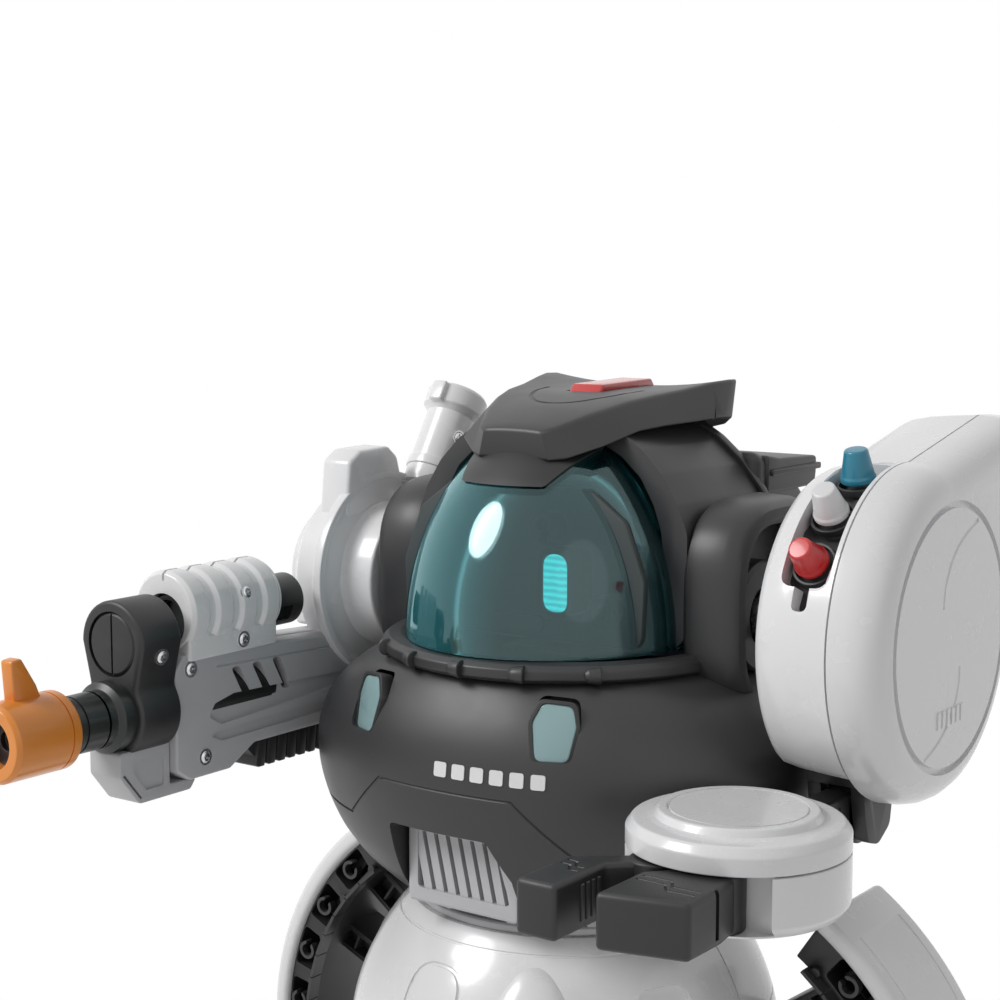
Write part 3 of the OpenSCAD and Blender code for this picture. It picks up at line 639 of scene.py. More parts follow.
chestShape = {
    # height, half width, front reach
    "levels": [(130, 50, 52), (132, 56, 56.5), (139, 70, 61.5), (147, 79, 65), (156, 84.5, 67.6),
               (165, 87.6, 69.3),
               (173, 88.6, 69.8), (181, 88, 69.2), (188, 85, 67.5), (194, 81, 65), (199, 75, 62.3),
               (203, 69, 59.8),
               (206, 62, 57.2), (207, 57, 54)],
    "backReach": 1.02, "around": 240, "up": 72, "seamWidth": 0.55,
}


def smoothLevels(s):
    # passes a smooth curve through the listed levels
    heights, widths, reaches = (np.array(column, float) for column in zip(*s["levels"]))
    run = np.concatenate([[0], np.cumsum(np.hypot(np.diff(heights), np.diff(widths)))])
    t = np.linspace(0, run[-1], s["up"])
    out = []
    for column in (heights, widths, reaches):
        raw = np.interp(t, run, column)
        for _ in range(6):
            raw[1:-1] = (raw[:-2] + 2 * raw[1:-1] + raw[2:]) / 4
        out.append(raw)
    return np.stack(out, 1)


chestLevels = smoothLevels(chestShape)


def chestFrontY(x, z, inset=0.0):
    a = float(np.interp(z, chestLevels[:, 0], chestLevels[:, 1])) - inset
    b = float(np.interp(z, chestLevels[:, 0], chestLevels[:, 2])) - inset
    reach = min(abs(x) / a, 0.999)
    return -b * (1 - reach ** 2.15) ** (1 / 2.15)


def chestSkin(u, v):
    angle = 2 * math.pi * u
    row = v * (len(chestLevels) - 1)
    low = int(min(row, len(chestLevels) - 2))
    z, a, b = chestLevels[low] + (chestLevels[low + 1] - chestLevels[low]) * (row - low)
    c, s = math.cos(angle), math.sin(angle)
    p = 2 / 2.15
    return (a * math.copysign(abs(c) ** p, c), b * math.copysign(abs(s) ** p, s), z)


def surfacePath(points, spacing, onto):
    # points of a straight-sided path in x and z, laid onto a surface y = onto(x, z)
    out = []
    for (x0, z0), (x1, z1) in zip(points, points[1:]):
        steps = max(2, int(math.hypot(x1 - x0, z1 - z0) / spacing))
        for k in range(steps):
            x, z = x0 + (x1 - x0) * k / steps, z0 + (z1 - z0) * k / steps
            out.append((x, onto(x, z), z))
    x, z = points[-1]
    out.append((x, onto(x, z), z))
    return out


def buildChest(s):
    chest = gridPiece("chestShell", chestSkin, s["around"], s["up"])
    panel = [(-86, 157.5), (-43, 157), (-25.5, 172.5), (25.5, 172.5), (43, 157), (86, 157.5)]
    grooves = [tube("panelGroove", surfacePath(panel, 2.0, chestFrontY), s["seamWidth"], 6)]
    pocket = slab("pocket", roundCorners([(-22.5, 120), (22.5, 120), (22.5, 146), (16, 158.5),
                                          (-22.5, 158.5)],
                                         [0, 0, 2, 3, 2.5], 4), "Y", -90, -50.2)
    lamp = headlightBlock("lampPocket", 1.0, -9, 12)
    lamps = [lamp, mirrored(lamp, "lampPocketOther")]
    chest = carved(chest, grooves + [pocket] + lamps)
    return finish(chest, "torso", "charcoal_shell", finishes["charcoal"], "chest_shell")


def headlightBlock(name, grow, low, high):
    outline = [(-6.3 - grow, -9 - grow), (4.5 + grow, -9 - grow), (6.8 + grow, 2), (5.6 + grow, 8.4 + grow),
               (-4.2 - grow, 9.2 + grow), (-7.4 - grow, 3)]
    block = slab(name, roundCorners(outline, [3, 3, 4, 3, 3, 4], 4), "Y", low, high)
    block.data.transform(Matrix.Translation((34.5, -55.5, 194)) @ Matrix.Rotation(math.radians(24), 4, "Z")
                         @ Matrix.Rotation(math.radians(-14), 4, "X"))
    return block


def buildHeadlights():
    lens = headlightBlock("lens", 0.1, -1, 4)
    lens = bevelled(lens, 0.9, 3)
    lens.data.transform(Matrix.Translation((1.4, -3.1, -0.5)))
    lenses = bothSides(lens, "headlightLenses")
    finish(lenses, "torso", "lens", finishes["lens"], "headlight_lenses")
    rim = headlightBlock("rim", 0.95, -1.6, 3.2)
    rim = carved(bevelled(rim, 0.4, 2), [headlightBlock("rimHole", -0.2, -6, 20)])
    rim.data.transform(Matrix.Translation((1.2, -2.7, -0.4)))
    finish(bothSides(rim, "headlightBezels"), "torso", "black_frame", finishes["black"])


buildChest(chestShape)
buildHeadlights()
print("chest ready")

def hull(name, loops):
    # a closed skin through loops of equally many points, capped at both ends
    count = len(loops[0])
    verts = [p for loop in loops for p in loop]
    faces = [tuple(range(count)), tuple(range((len(loops) - 1) * count, len(loops) * count))]
    for row in range(len(loops) - 1):
        for i in range(count):
            a, b = row * count + i, row * count + (i + 1) % count
            faces.append((a, b, b + count, a + count))
    return tidyMesh(newObject(name, verts, faces))


def moved(obj, matrix):
    obj.data.transform(matrix)
    return obj


def aimed(spot, direction, tilt=0.0):
    # a frame at spot whose Z looks along direction
    turn = Vector(direction).to_track_quat("Z", "Y").to_matrix().to_4x4()
    return Matrix.Translation(spot) @ turn @ Matrix.Rotation(math.radians(tilt), 4, "Z")


def repeatGroup():
    # sets one moulded unit out along a row or around an arc; Jitter shakes each copy by a seeded amount
    group = bpy.data.node_groups.new("repeatUnit", "GeometryNodeTree")
    for label, kind, value in (("Unit", "NodeSocketObject", None), ("Count", "NodeSocketInt", 5),
                               ("Step", "NodeSocketVector", (0, 0, 0)), ("Radius", "NodeSocketFloat", 0.0),
                               ("Start", "NodeSocketFloat", 0.0), ("Sweep", "NodeSocketFloat", 0.0),
                               ("Jitter", "NodeSocketFloat", 0.0), ("Seed", "NodeSocketInt", 7),
                               ("Material", "NodeSocketMaterial", None)):
        socket = group.interface.new_socket(label, in_out="INPUT", socket_type=kind)
        if value is not None:
            socket.default_value = value
    group.interface.new_socket("Geometry", in_out="OUTPUT", socket_type="NodeSocketGeometry")
    nodes, links = group.nodes, group.links
    gin = nodes.new("NodeGroupInput")
    gout = nodes.new("NodeGroupOutput")
    points = nodes.new("GeometryNodePoints")
    links.new(gin.outputs["Count"], points.inputs["Count"])
    index = nodes.new("GeometryNodeInputIndex").outputs[0]
    angle = mathNode(nodes, links, "ADD", gin.outputs["Start"],
                     mathNode(nodes, links, "MULTIPLY", index, gin.outputs["Sweep"]))
    spot = nodes.new("ShaderNodeCombineXYZ")
    links.new(mathNode(nodes, links, "MULTIPLY", mathNode(nodes, links, "COSINE", angle, 0.0),
                       gin.outputs["Radius"]), spot.inputs["X"])
    links.new(mathNode(nodes, links, "MULTIPLY", mathNode(nodes, links, "SINE", angle, 0.0),
                       gin.outputs["Radius"]), spot.inputs["Y"])
    along = nodes.new("ShaderNodeVectorMath")
    along.operation = "SCALE"
    links.new(gin.outputs["Step"], along.inputs[0])
    links.new(index, along.inputs["Scale"])
    place = nodes.new("ShaderNodeVectorMath")
    links.new(spot.outputs[0], place.inputs[0])
    links.new(along.outputs[0], place.inputs[1])
    links.new(place.outputs[0], points.inputs["Position"])
    shake = nodes.new("FunctionNodeRandomValue")
    links.new(gin.outputs["Seed"], shake.inputs["Seed"])
    turn = nodes.new("ShaderNodeCombineXYZ")
    swing = mathNode(nodes, links, "MULTIPLY", shake.outputs[1], gin.outputs["Jitter"])
    links.new(mathNode(nodes, links, "ADD", angle, swing), turn.inputs["Z"])
    euler = nodes.new("FunctionNodeEulerToRotation")
    links.new(turn.outputs[0], euler.inputs[0])
    unit = nodes.new("GeometryNodeObjectInfo")
    links.new(gin.outputs["Unit"], unit.inputs["Object"])
    copies = nodes.new("GeometryNodeInstanceOnPoints")
    links.new(points.outputs[0], copies.inputs["Points"])
    links.new(unit.outputs["Geometry"], copies.inputs["Instance"])
    links.new(euler.outputs[0], copies.inputs["Rotation"])
    solid = nodes.new("GeometryNodeRealizeInstances")
    links.new(copies.outputs[0], solid.inputs[0])
    painted = nodes.new("GeometryNodeSetMaterial")
    links.new(solid.outputs[0], painted.inputs["Geometry"])
    links.new(gin.outputs["Material"], painted.inputs["Material"])
    links.new(painted.outputs[0], gout.inputs["Geometry"])
    return group


repeatUnit = repeatGroup()
repeatSocket = {item.name: item.identifier for item in repeatUnit.interface.items_tree
                if item.item_type == "SOCKET" and item.in_out == "INPUT"}


def repeated(name, unit, material, **settings):
    # runs the repeat group once and keeps its mesh; the unit is used up
    obj = newObject(name, [], [])
    modifier = obj.modifiers.new("repeat", "NODES")
    modifier.node_group = repeatUnit
    modifier[repeatSocket["Unit"]] = unit
    modifier[repeatSocket["Material"]] = material
    for label, value in settings.items():
        modifier[repeatSocket[label]] = value
    obj = applied(obj)
    discard(unit)
    return tidyMesh(obj, outward=False)


def screwAt(name, spots, size=1.0):
    # cross-head screws seated at (spot, direction) pairs
    heads = []
    for number, (spot, direction) in enumerate(spots):
        head = turned("head", rounded([(0, 0.9), (1.3, 0.85), (2.1, 0.3), (2.1, -1.2), (0, -1.2)], 0.4), "Z",
                      (0, 0, 0), 24)
        arms = [box("arm", (-1.35, -0.24, 0.1), (1.35, 0.24, 2)), box("armB", (-0.24, -1.35, 0.1), (0.24,
            1.35, 2))]
        head = carved(head, arms)
        well = turned("well", [(2.25, -1.0), (2.25, 0.25), (2.75, 0.25), (2.75, -1.0), (2.25, -1.0)], "Z",
                      (0, 0, 0), 28)
        head = joined("head", [head, well])
        head.data.transform(Matrix.Scale(size, 4))
        heads.append(moved(head, aimed(spot, direction, 37 * number + 11)))
    return joined(name, heads)


# pieces of the head

headShape = {
    "visorRadii": (50.5, 57.5, 70), "visorCentre": (0, 0, 214), "visorWall": 2.0,
    "collarStuds": (-42, -20, 0, 20, 42), "collarRadius": 61.0,
    "archOutline": [(53, 212.6), (53, 250), (49.3, 259), (43.5, 268), (36, 275.5), (27, 281.5), (18, 284.5)],
    "archSide": [(-11.5, 285), (-11.5, 212), (42, 212), (42, 256), (35, 281), (35, 285)],
    "openingOutline": [(45, 200), (44.2, 236), (42.6, 250), (39.8, 258), (35.2, 266), (28, 272.5),
                       (20, 276.5)],
}


def ellipsoidDome(name, radii, centre, grow, steps=112, rows=28):
    angles = np.linspace(math.pi / 2, -0.2, rows)
    profile = [(math.cos(a), math.sin(a)) for a in angles]
    profile[0] = (0.0, 1.0)
    profile.append((0.0, profile[-1][1]))
    dome = turned(name, profile, "Z", (0, 0, 0), steps)
    scale = [r + grow for r in radii]
    dome.data.transform(Matrix.Translation(centre) @ Matrix.Diagonal((*scale, 1)))
    return dome


def mirroredOutline(half):
    return half + [(-x, z) for x, z in reversed(half)]


def buildCollar(s):
    r = s["collarRadius"]
    ring = turned("collarRing", roundCorners([(r - 10, 206.4), (r - 2, 206.4), (r, 207.8), (r, 210.6),
                                              (r - 2, 212.2),
                                              (r - 6, 212.6), (r - 10, 211.6), (r - 10, 206.4)], 1.1, 4,
                                             False),
                  "Z", (0, 0, 0), 144)
    ring = carved(ring, [box("trim", (-90, -3, 190), (90, 90, 230))])
    stud = turned("stud", rounded([(0, 2.9), (1.5, 2.7), (2.3, 1.6), (2.6, 0), (2.9, -2.2), (0, -2.2)], 0.5),
                  "Y",
                  (0, 0, 0), 20)
    turns = s["collarStuds"]
    half = [repeated("collarStud", newCopy(stud), finishes["charcoal"], Count=1, Radius=-(r - 0.4),
                     Start=math.radians(90 + turn)) for turn in turns]
    discard(stud)
    studs = moved(joined("studs", half), Matrix.Translation((0, 0, 209.4)))
    finish(joined("collarRing", [ring, studs]), "torso", "charcoal_shell", finishes["charcoal"],
           "collar_ring")


def newCopy(obj):
    copy = bpy.data.objects.new(obj.name + "Copy", obj.data.copy())
    bpy.context.scene.collection.objects.link(copy)
    return copy


def buildVisor(s):
    shell = ellipsoidDome("visorShell", s["visorRadii"], s["visorCentre"], 0)
    hollow = ellipsoidDome("visorHollow", s["visorRadii"], s["visorCentre"], -s["visorWall"])
    behind = box("behind", (-90, -7.5, 190), (90, 90, 300))
    below = box("below", (-90, -90, 190), (90, 90, 212.9))
    shell = carved(shell, [hollow, behind, below])
    finish(shell, "torso", "visor_tint", finishes["visor"], "visor", angle=50)
    tab = ellipsoidDome("browTab", s["visorRadii"], s["visorCentre"], 0.7)
    tabShape = slab("tabShape", roundCorners([(-24, 278), (-16, 264.6), (16, 264.6), (24, 278)], [0, 1.5, 1.5,
        0]),
                    "Y", -60, -12)
    tab = carved(tab, [tabShape], "INTERSECT")
    finish(tab, "torso", "black_frame", finishes["black"])


def buildFace():
    plate = slab("facePlate", roundCorners(mirroredOutline([(46, 214.5), (47, 236), (40, 254), (27, 263.5)]),
                                           5),
                 "Y", -27, -24)
    plate = bevelled(plate, 0.6, 2)
    parts = [plate]
    for x, z in ((-13, 251), (13, 251), (34, 226), (-34, 226)):
        ring = turned("boss", [(2.4, -24.5), (2.4, -31), (3.1, -32), (4.6, -32), (5.3, -31), (5.3, -24.5),
                               (2.4, -24.5)],
                      "Y", (x, 0, z), 36)
        parts.append(carved(ring, [box("gap", (x - 1.4, -40, z - 7), (x + 1.4, -20, z - 1))]))
    for side in (-1, 1):
        cx = side * 21.5
        housing = slab("eyeHousing", roundCorners([(cx - 6.4, 224), (cx + 6.4, 224), (cx + 6.4, 246),
                                                   (cx - 6.4, 246)],
                                                  5.6, 7), "Y", -38.3, -26)
        well = slab("eyeWell", roundCorners([(cx - 4.7, 225.8), (cx + 4.7, 225.8), (cx + 4.7, 244.2),
                                             (cx - 4.7, 244.2)], 4.2, 7), "Y", -42, -34)
        parts.append(carved(bevelled(housing, 0.5, 2), [well]))
    rim = slab("speaker", roundCorners([(-10, 217), (10, 217), (10, 222), (-10, 222)], 2), "Y", -28.5, -26)
    parts.append(rim)
    finish(joined("facePlate", parts), "torso", "face_dark", finishes["face"], "face_plate")
    eyes = []
    for side in (-1, 1):
        cx = side * 21.5
        eye = slab("eye", roundCorners([(cx - 4.5, 226), (cx + 4.5, 226), (cx + 4.5, 244), (cx - 4.5, 244)],
                                       4.1, 8),
                   "Y", -38.2, -34.2)
        eyes.append(bevelled(eye, 0.5, 2))
    finish(joined("eyePanels", eyes), "torso", "eye_glow", finishes["glow"], "eye_panels")


def archSlab(name, grow, low, high):
    outline = [(x + grow * (1 if x > 50 else 0.7), z + (grow if z > 240 else 0)) for x,
               z in headShape["archOutline"]]
    return slab(name, roundCorners(mirroredOutline(outline), 9, 5), "Y", low, high)


def buildArch(s):
    arch = archSlab("headArch", 0, -50, 40)
    arch = carved(arch, [slab("archCut", s["archSide"], "X", -80, 80)], "INTERSECT")
    opening = hull("opening", [[(x * grow, y, 200 + (z - 200) * (1 + (grow - 1) * 0.3)) for x, z in
                                roundCorners(mirroredOutline(s["openingOutline"]), 6, 5)]
                               for y, grow in ((-20, 1.03), (-11.4, 1.02), (-5, 0.97), (30, 0.94))])
    arch = carved(arch, [opening])
    arch = bevelled(arch, 1.2, 3, 34)
    finish(arch, "torso", "charcoal_shell", finishes["charcoal"], "head_front_shell")
    rib = archSlab("rearRib", 1.3, -50, 60)
    rib = carved(rib, [slab("ribCut",
                            [(41.5, 213), (41.5, 256), (34.5, 281), (34.5, 287), (38.5, 287), (38.5, 281),
                                       (45.5, 256), (45.5, 213)], "X", -80, 80)], "INTERSECT")
    rib = bevelled(rib, 0.7, 2, 34)
    finish(rib, "torso", "charcoal_shell", finishes["charcoal"])


def buildHeadRear():
    body = slab("headRear", roundCorners([(40, 212.8), (70, 212.8), (76, 222), (78, 240), (76, 255),
                                          (62, 266),
                                          (40, 272)], [0, 4, 6, 6, 5, 8, 0], 5), "X", -49, 49)
    body = bevelled(body, 4, 4, 40)
    seam = [tube("rearSeam", [(x, 77 + 1.0, 238) for x in np.linspace(-50, 50, 20)], 0.5, 6)]
    body = carved(body, seam)
    deck = slab("deck", roundCorners([(46, 257), (81, 257), (82, 262), (82, 267.4), (56, 268.4), (46, 270)],
                                     [0, 2, 2, 1.5, 2, 0]), "X", -50, 50)
    deck = bevelled(deck, 1.4, 3)
    lip = slab("deckLip", roundCorners([(48, 262.8), (83.4, 262.8), (83.4, 265), (48, 265)], 0.8), "X", -51,
               51)
    pack = slab("backPack", roundCorners([(70, 216), (82.5, 218), (84, 224), (84, 250), (80, 256), (70, 258)],
                                         [0, 3, 3, 4, 3, 0]), "X", -42, 42)
    pack = bevelled(pack, 2.5, 4)
    vent = slab("ventPocket", roundCorners([(-30, 224), (30, 224), (30, 250), (-30, 250)], 3), "Y", 82.4, 90)
    pack = carved(pack, [vent])
    slat = slab("slat", [(82.3, -1.5), (84.4, -0.3), (84.4, 0.9), (82.3, 1.3)], "X", -29, 29)
    slats = repeated("packLouvres", slat, finishes["charcoal"], Count=7, Step=(0, 0, 3.6))
    slats = moved(slats, Matrix.Translation((0, 0, 226.2)))
    finish(joined("headRear", [body, deck, bevelled(lip, 0.4, 2), pack, slats]), "torso", "charcoal_shell",
           finishes["charcoal"], "head_rear_shell")


def buildCap():
    stations = [
        # upper edge x, y, z, lower edge x, y, z, height of the crown's middle
        (11, -31, 281.2, 13.5, -30.5, 271.8, 281.6), (15, -27.5, 282.4, 19, -27, 272.6, 283.4),
        (21, -15, 286.6, 28, -20, 276.5, 287.6), (26, -2, 289.8, 33, -7, 280.6, 290.2),
        (29.5, 8, 291.4, 35, 6, 281.6, 291.4), (32, 20, 292.6, 37, 17, 282, 291.8),
        (35.5, 34, 294.6, 38.5, 28, 282.4, 292), (38, 42, 295.3, 39, 36, 282.4, 292),
                (37.5, 47, 295.2, 38.5, 42, 282, 291.8),
        (30, 50, 293.2, 33, 48, 279.5, 291.6), (24, 54, 291.2, 26, 53, 278, 291),
                (20, 57, 290, 21, 56, 276, 289.6)]
    across = 14
    loops = []
    for ux, uy, uz, lx, ly, lz, middle in stations:
        top = []
        for k in range(across + 1):
            t = 2 * k / across - 1
            top.append((ux * t, uy, middle + (uz - middle) * abs(t) ** 2.2))
        bottom = [(lx * (1 - 2 * k / across), ly, lz) for k in range(across + 1)]
        loops.append(top + bottom)
    cap = hull("cap", loops)
    cap = bevelled(cap, 1.5, 4, 38)
    pocket = slab("barPocket", roundCorners([(-6.8, 9), (6.8, 9), (6.8, 47), (-6.8, 47)], 0.8), "Z", 290.6,
                  300)
    arc = [(19 * math.cos(a), 20 + 30 * math.sin(a), 0) for a in np.radians(np.linspace(185, 355, 40))]
    crest = [tube("crest", [(x, y, np.interp(y, (-31, -15, -2, 8, 24), (281.6, 287.7, 290.3, 291.6, 292.3)))
                            for x, y, _ in arc], 0.75, 8)]
    finLines = []
    for side in (-1, 1):
        finLines.append(tube("finLine", [(side * 38.4, 30, 282), (side * 37.6, 33, 289),
                                         (side * 37.2, 36, 296)],
                             0.45, 6))
    cap = carved(cap, [pocket] + crest + finLines)
    finish(cap, "torso", "charcoal_shell", finishes["charcoal"], "cap")
    bar = slab("lightBar", roundCorners([(9.5, 290.2), (12.5, 293.7), (43, 294.4), (46.5, 290.2)], [0, 1.2,
        1.2, 0]),
               "X", -6.2, 6.2)
    bar = bevelled(bar, 0.7, 3)
    rib = box("barRib", (-5.2, -0.35, 0), (5.2, 0.35, 0.5))
    ribs = moved(repeated("barRibs", rib, finishes["lampRed"], Count=9, Step=(0, 3, 0.06)),
                 Matrix.Translation((0, 16.5, 293.3)))
    finish(joined("lightBar", [bar, ribs]), "torso", "lamp_red", finishes["lampRed"], "light_bar")


def podOutline(inset):
    y0, y1, z0, z1 = -14 + inset, 50 - inset, 190 + inset, 260 - inset
    return roundCorners([(y0, z0), (y1, z0), (y1, z1), (y0, z1)], 26 - inset * 0.8, 12)


def buildPods():
    rows = [(50, 6), (52, 2.5), (54, 0.6), (57, 0), (66, 0.4), (69.6, 1.4), (71.4, 3), (72, 5.2)]
    pod = hull("pod", [[(x, y, z) for y, z in podOutline(inset)] for x, inset in rows])
    pocket = hull("podPocket", [[(x, y, z) for y, z in podOutline(inset)] for x, inset in ((61, 9.5),
        (73, 7.6))])
    step = hull("podStep", [[(x, y, z) for y, z in podOutline(inset)] for x, inset in ((70.2, 6.8),
        (73, 6.2))])
    bore = turned("podBore", [(0, 50), (8.6, 50), (8.6, 80), (0, 80)], "X", (0, 14, 222), 48)
    pod = carved(pod, [pocket, step, bore])
    boss = turned("podBoss", rounded([(9, 60), (9, 66), (10, 67), (17, 67), (18, 66), (18, 60), (9, 60)],
                                     0.6), "X",
                  (0, 14, 222), 64)
    tab = bevelled(box("tab", (60, -1.3, -2.6), (64.4, 1.3, 2.6)), 0.4, 2)
    tabs = moved(repeated("podTabs", tab, finishes["charcoal"], Count=3, Step=(0, -1.5, -8.6)),
                 Matrix.Translation((0, -3, 236)))
    other = bevelled(box("tab", (60, -1.3, -2.6), (64.4, 1.3, 2.6)), 0.4, 2)
    more = moved(repeated("podTabsRear", other, finishes["charcoal"], Count=3, Step=(0, 1.5, -8.6)),
                 Matrix.Translation((0, 31, 236)))
    pods = bothSides(joined("shoulderPods", [pod, boss, tabs, more]), "shoulderPods")
    finish(pods, "torso", "charcoal_shell", finishes["charcoal"], "shoulder_pods")


buildCollar(headShape)
buildVisor(headShape)
buildFace()
buildArch(headShape)
buildHeadRear()
buildCap()
buildPods()
print("head ready")

# left arm

drumShape = {
    "centre": (14.0, 222.0), "radius": 52.0, "rear": 88.0,
    # x and how far the outline is drawn in, from the slot side to the outer face
    "innerRows": [(89.3, 4.6), (89.9, 3.6), (92, 2.4), (98, 1.2), (106, 0.5), (113.7, 0)],
    "outerRows": [(114.3, 0), (119, 0.3), (123, 1.3), (126, 3.0), (128.4, 5.4), (129.6, 8.0), (130, 10.6)],
    "slotHalf": 7.5, "slotCentre": 104.0, "slotTurn": (22, 88),
    "buttons": (("red", 32, "red_key"), ("buttonWhite", 53, "white_key"), ("blue", 76, "blue_key")),
}


def drumOutline(inset, flat=None):
    (cy, cz), r, rear = drumShape["centre"], drumShape["radius"] - inset, drumShape["rear"] - inset
    points = arcPoints(cy, cz, r, 88, 350, 92)
    horn = [(rear - 19, cz + 63 - inset), (rear, cz + 62 - inset), (rear, cz + 46)]
    outline = points + roundCorners([points[-1]] + list(reversed(horn)) + [points[0]], [0, 14, 7, 9, 0],
                                    6)[1:-1]
    if flat is not None:
        outline = [(y, max(z, flat + inset)) for y, z in outline]
    return outline


def drumLoops(rows, flat=None):
    return [[(x, y, z) for y, z in drumOutline(inset, flat)] for x, inset in rows]


def rimSlab(name, outline, low, high):
    # an outline in x and turn above forward, wrapped about the drum between two radii
    cy, cz = drumShape["centre"]
    loops = [[(x, cy - r * math.cos(math.radians(a)), cz + r * math.sin(math.radians(a))) for x, a in outline]
             for r in (low, high)]
    return hull(name, loops)


def slotOutline(half, low, high, corner, centre=104.0):
    # degrees run up the rim; one degree is about 0.9 mm there
    flat = roundCorners([(centre - half, low), (centre + half, low), (centre + half, high),
                         (centre - half, high)],
                        corner, 6)
    out = []
    for (x0, a0), (x1, a1) in zip(flat, flat[1:] + flat[:1]):
        steps = max(1, int(abs(a1 - a0) / 3))
        out += [(x0 + (x1 - x0) * k / steps, a0 + (a1 - a0) * k / steps) for k in range(steps)]
    return out


def buildDrum(s):
    cy, cz = s["centre"]
    inner = hull("drumInner", drumLoops(s["innerRows"], 183))
    low, high = s["slotTurn"]
    cutters = [rimSlab("slotCut", slotOutline(s["slotHalf"], low, high, 4.5), 43, 66),
               rimSlab("slotLip", slotOutline(s["slotHalf"] + 0.9, low - 1, high + 1, 5.2), 51.0, 66),
               rimSlab("keyCut", slotOutline(2.4, 14, 24, 2.2), 43, 66),
               rimSlab("keyLip", slotOutline(3.1, 13, 25, 2.8), 51.2, 66),
               turned("hubWell", [(0, 80), (11, 80), (11, 91.5), (0, 91.5)], "X", (0, cy, cz), 48)]
    inner = carved(inner, cutters)
    rim = turned("innerRing", rounded([(30, 91), (30, 88.9), (34, 88.9), (34, 91)], 0.5), "X", (0, cy, cz),
                 96)
    finish(joined("drumInner", [inner, rim]), "left_arm", "white_shell", finishes["white"], "left_drum_inner")
    outer = hull("drumOuter", drumLoops(s["outerRows"]))
    ring = turned("ringCut", [(39.2, 131), (39.2, 128.4), (41.4, 128.4), (41.4, 131), (39.2, 131)], "X",
                  (0, cy, cz), 120)
    curls = []
    for turn in (0, 180):
        path = []
        for k in range(31):
            t = k / 30
            angle = math.radians(turn + 118 - 62 * t)
            reach = 38.5 - 27 * t ** 0.85
            path.append((130.2, cy - reach * math.cos(angle), cz + reach * math.sin(angle)))
        curls.append(tube("curl", path, 0.8, 8))
    outer = carved(outer, [ring] + curls)
    bars = box("bar", (129.9, -0.9, -2.6), (130.45, 0.9, 2.6))
    marks = repeated("discMarks", bars, finishes["white"], Count=6, Step=(0, 3.4, 0))
    marks = moved(marks, Matrix.Translation((0, cy - 8.5, cz - 24)))
    finish(joined("drumOuter", [outer, marks]), "left_arm", "white_shell", finishes["white"],
           "left_drum_outer")
    plate = rimSlab("buttonPlate", slotOutline(9, 12, 90, 4), 44, 46.5)
    wells = []
    for _, turn, _ in s["buttons"]:
        seat = turned("buttonSeat", rounded([(5.9, 45), (5.9, 47.4), (6.9, 47.4), (7.1, 45), (5.9, 45)], 0.3),
                      "Z",
                      (0, 0, 0), 40)
        wells.append(moved(seat, rimFrame(turn)))
    finish(joined("buttonPlate", [plate] + wells), "left_arm", "black_frame", finishes["black"],
           "button_plate")
    for look, turn, body in s["buttons"]:
        cone = turned("button", rounded([(0, 58.2), (3.5, 58.2), (5.0, 50.4), (5.4, 49.6), (5.4, 47.9),
                                         (0, 47.9)],
                                        0.9, 5), "Z", (0, 0, 0), 48)
        cone = moved(cone, rimFrame(turn))
        slot = {"red": "button_red", "buttonWhite": "button_white", "blue": "button_blue"}[look]
        node = {"red": "red_button", "buttonWhite": "white_button", "blue": "blue_button"}[look]
        finish(cone, body, slot, finishes[look], node)


def rimFrame(turn):
    # heights along Z become radii from the drum's centre at this turn above forward
    cy, cz = drumShape["centre"]
    angle = math.radians(turn)
    return aimed((drumShape["slotCentre"], cy, cz), (0, -math.cos(angle), math.sin(angle)))


def buildElbow():
    base = bevelled(slab("elbowBase", [(-6, 187), (24, 187), (20, 176), (-4, 176)], "X", 91.5, 110.5), 0.8, 2)
    cheeks = []
    for x in (91.5, 106):
        cheek = slab("cheek", roundCorners([(-4, 182), (20, 182), (16, 161), (8, 156.5), (1, 158.5),
                                            (-1.5, 167)],
                                           [0, 0, 4, 5, 4, 3], 5), "X", x, x + 4.5)
        cheek = carved(cheek, [turned("pinWell", [(0, x - 1), (3.4, x - 1), (3.4, x + 0.9), (0, x + 0.9)],
                                      "X",
                                      (0, 8, 167), 40),
                               slab("panel", roundCorners([(2, 174), (16, 174), (14, 178.6), (2, 178.6)],
                                                          0.8), "X",
                                    x + 3.7, x + 6)])
        cheeks.append(bevelled(cheek, 0.5, 2))
    finish(joined("elbowBracket", [base] + cheeks), "left_arm", "black_frame", finishes["black"],
           "elbow_bracket")
    pin = turned("elbowPin", rounded([(0, 92.0), (2.3, 92.0), (2.45, 93), (2.45, 109), (2.3, 110), (0, 110)],
                                     0.3), "X",
                 (0, 8, 167), 32)
    finish(pin, "left_arm", "metal", finishes["metal"], "elbow_pin")


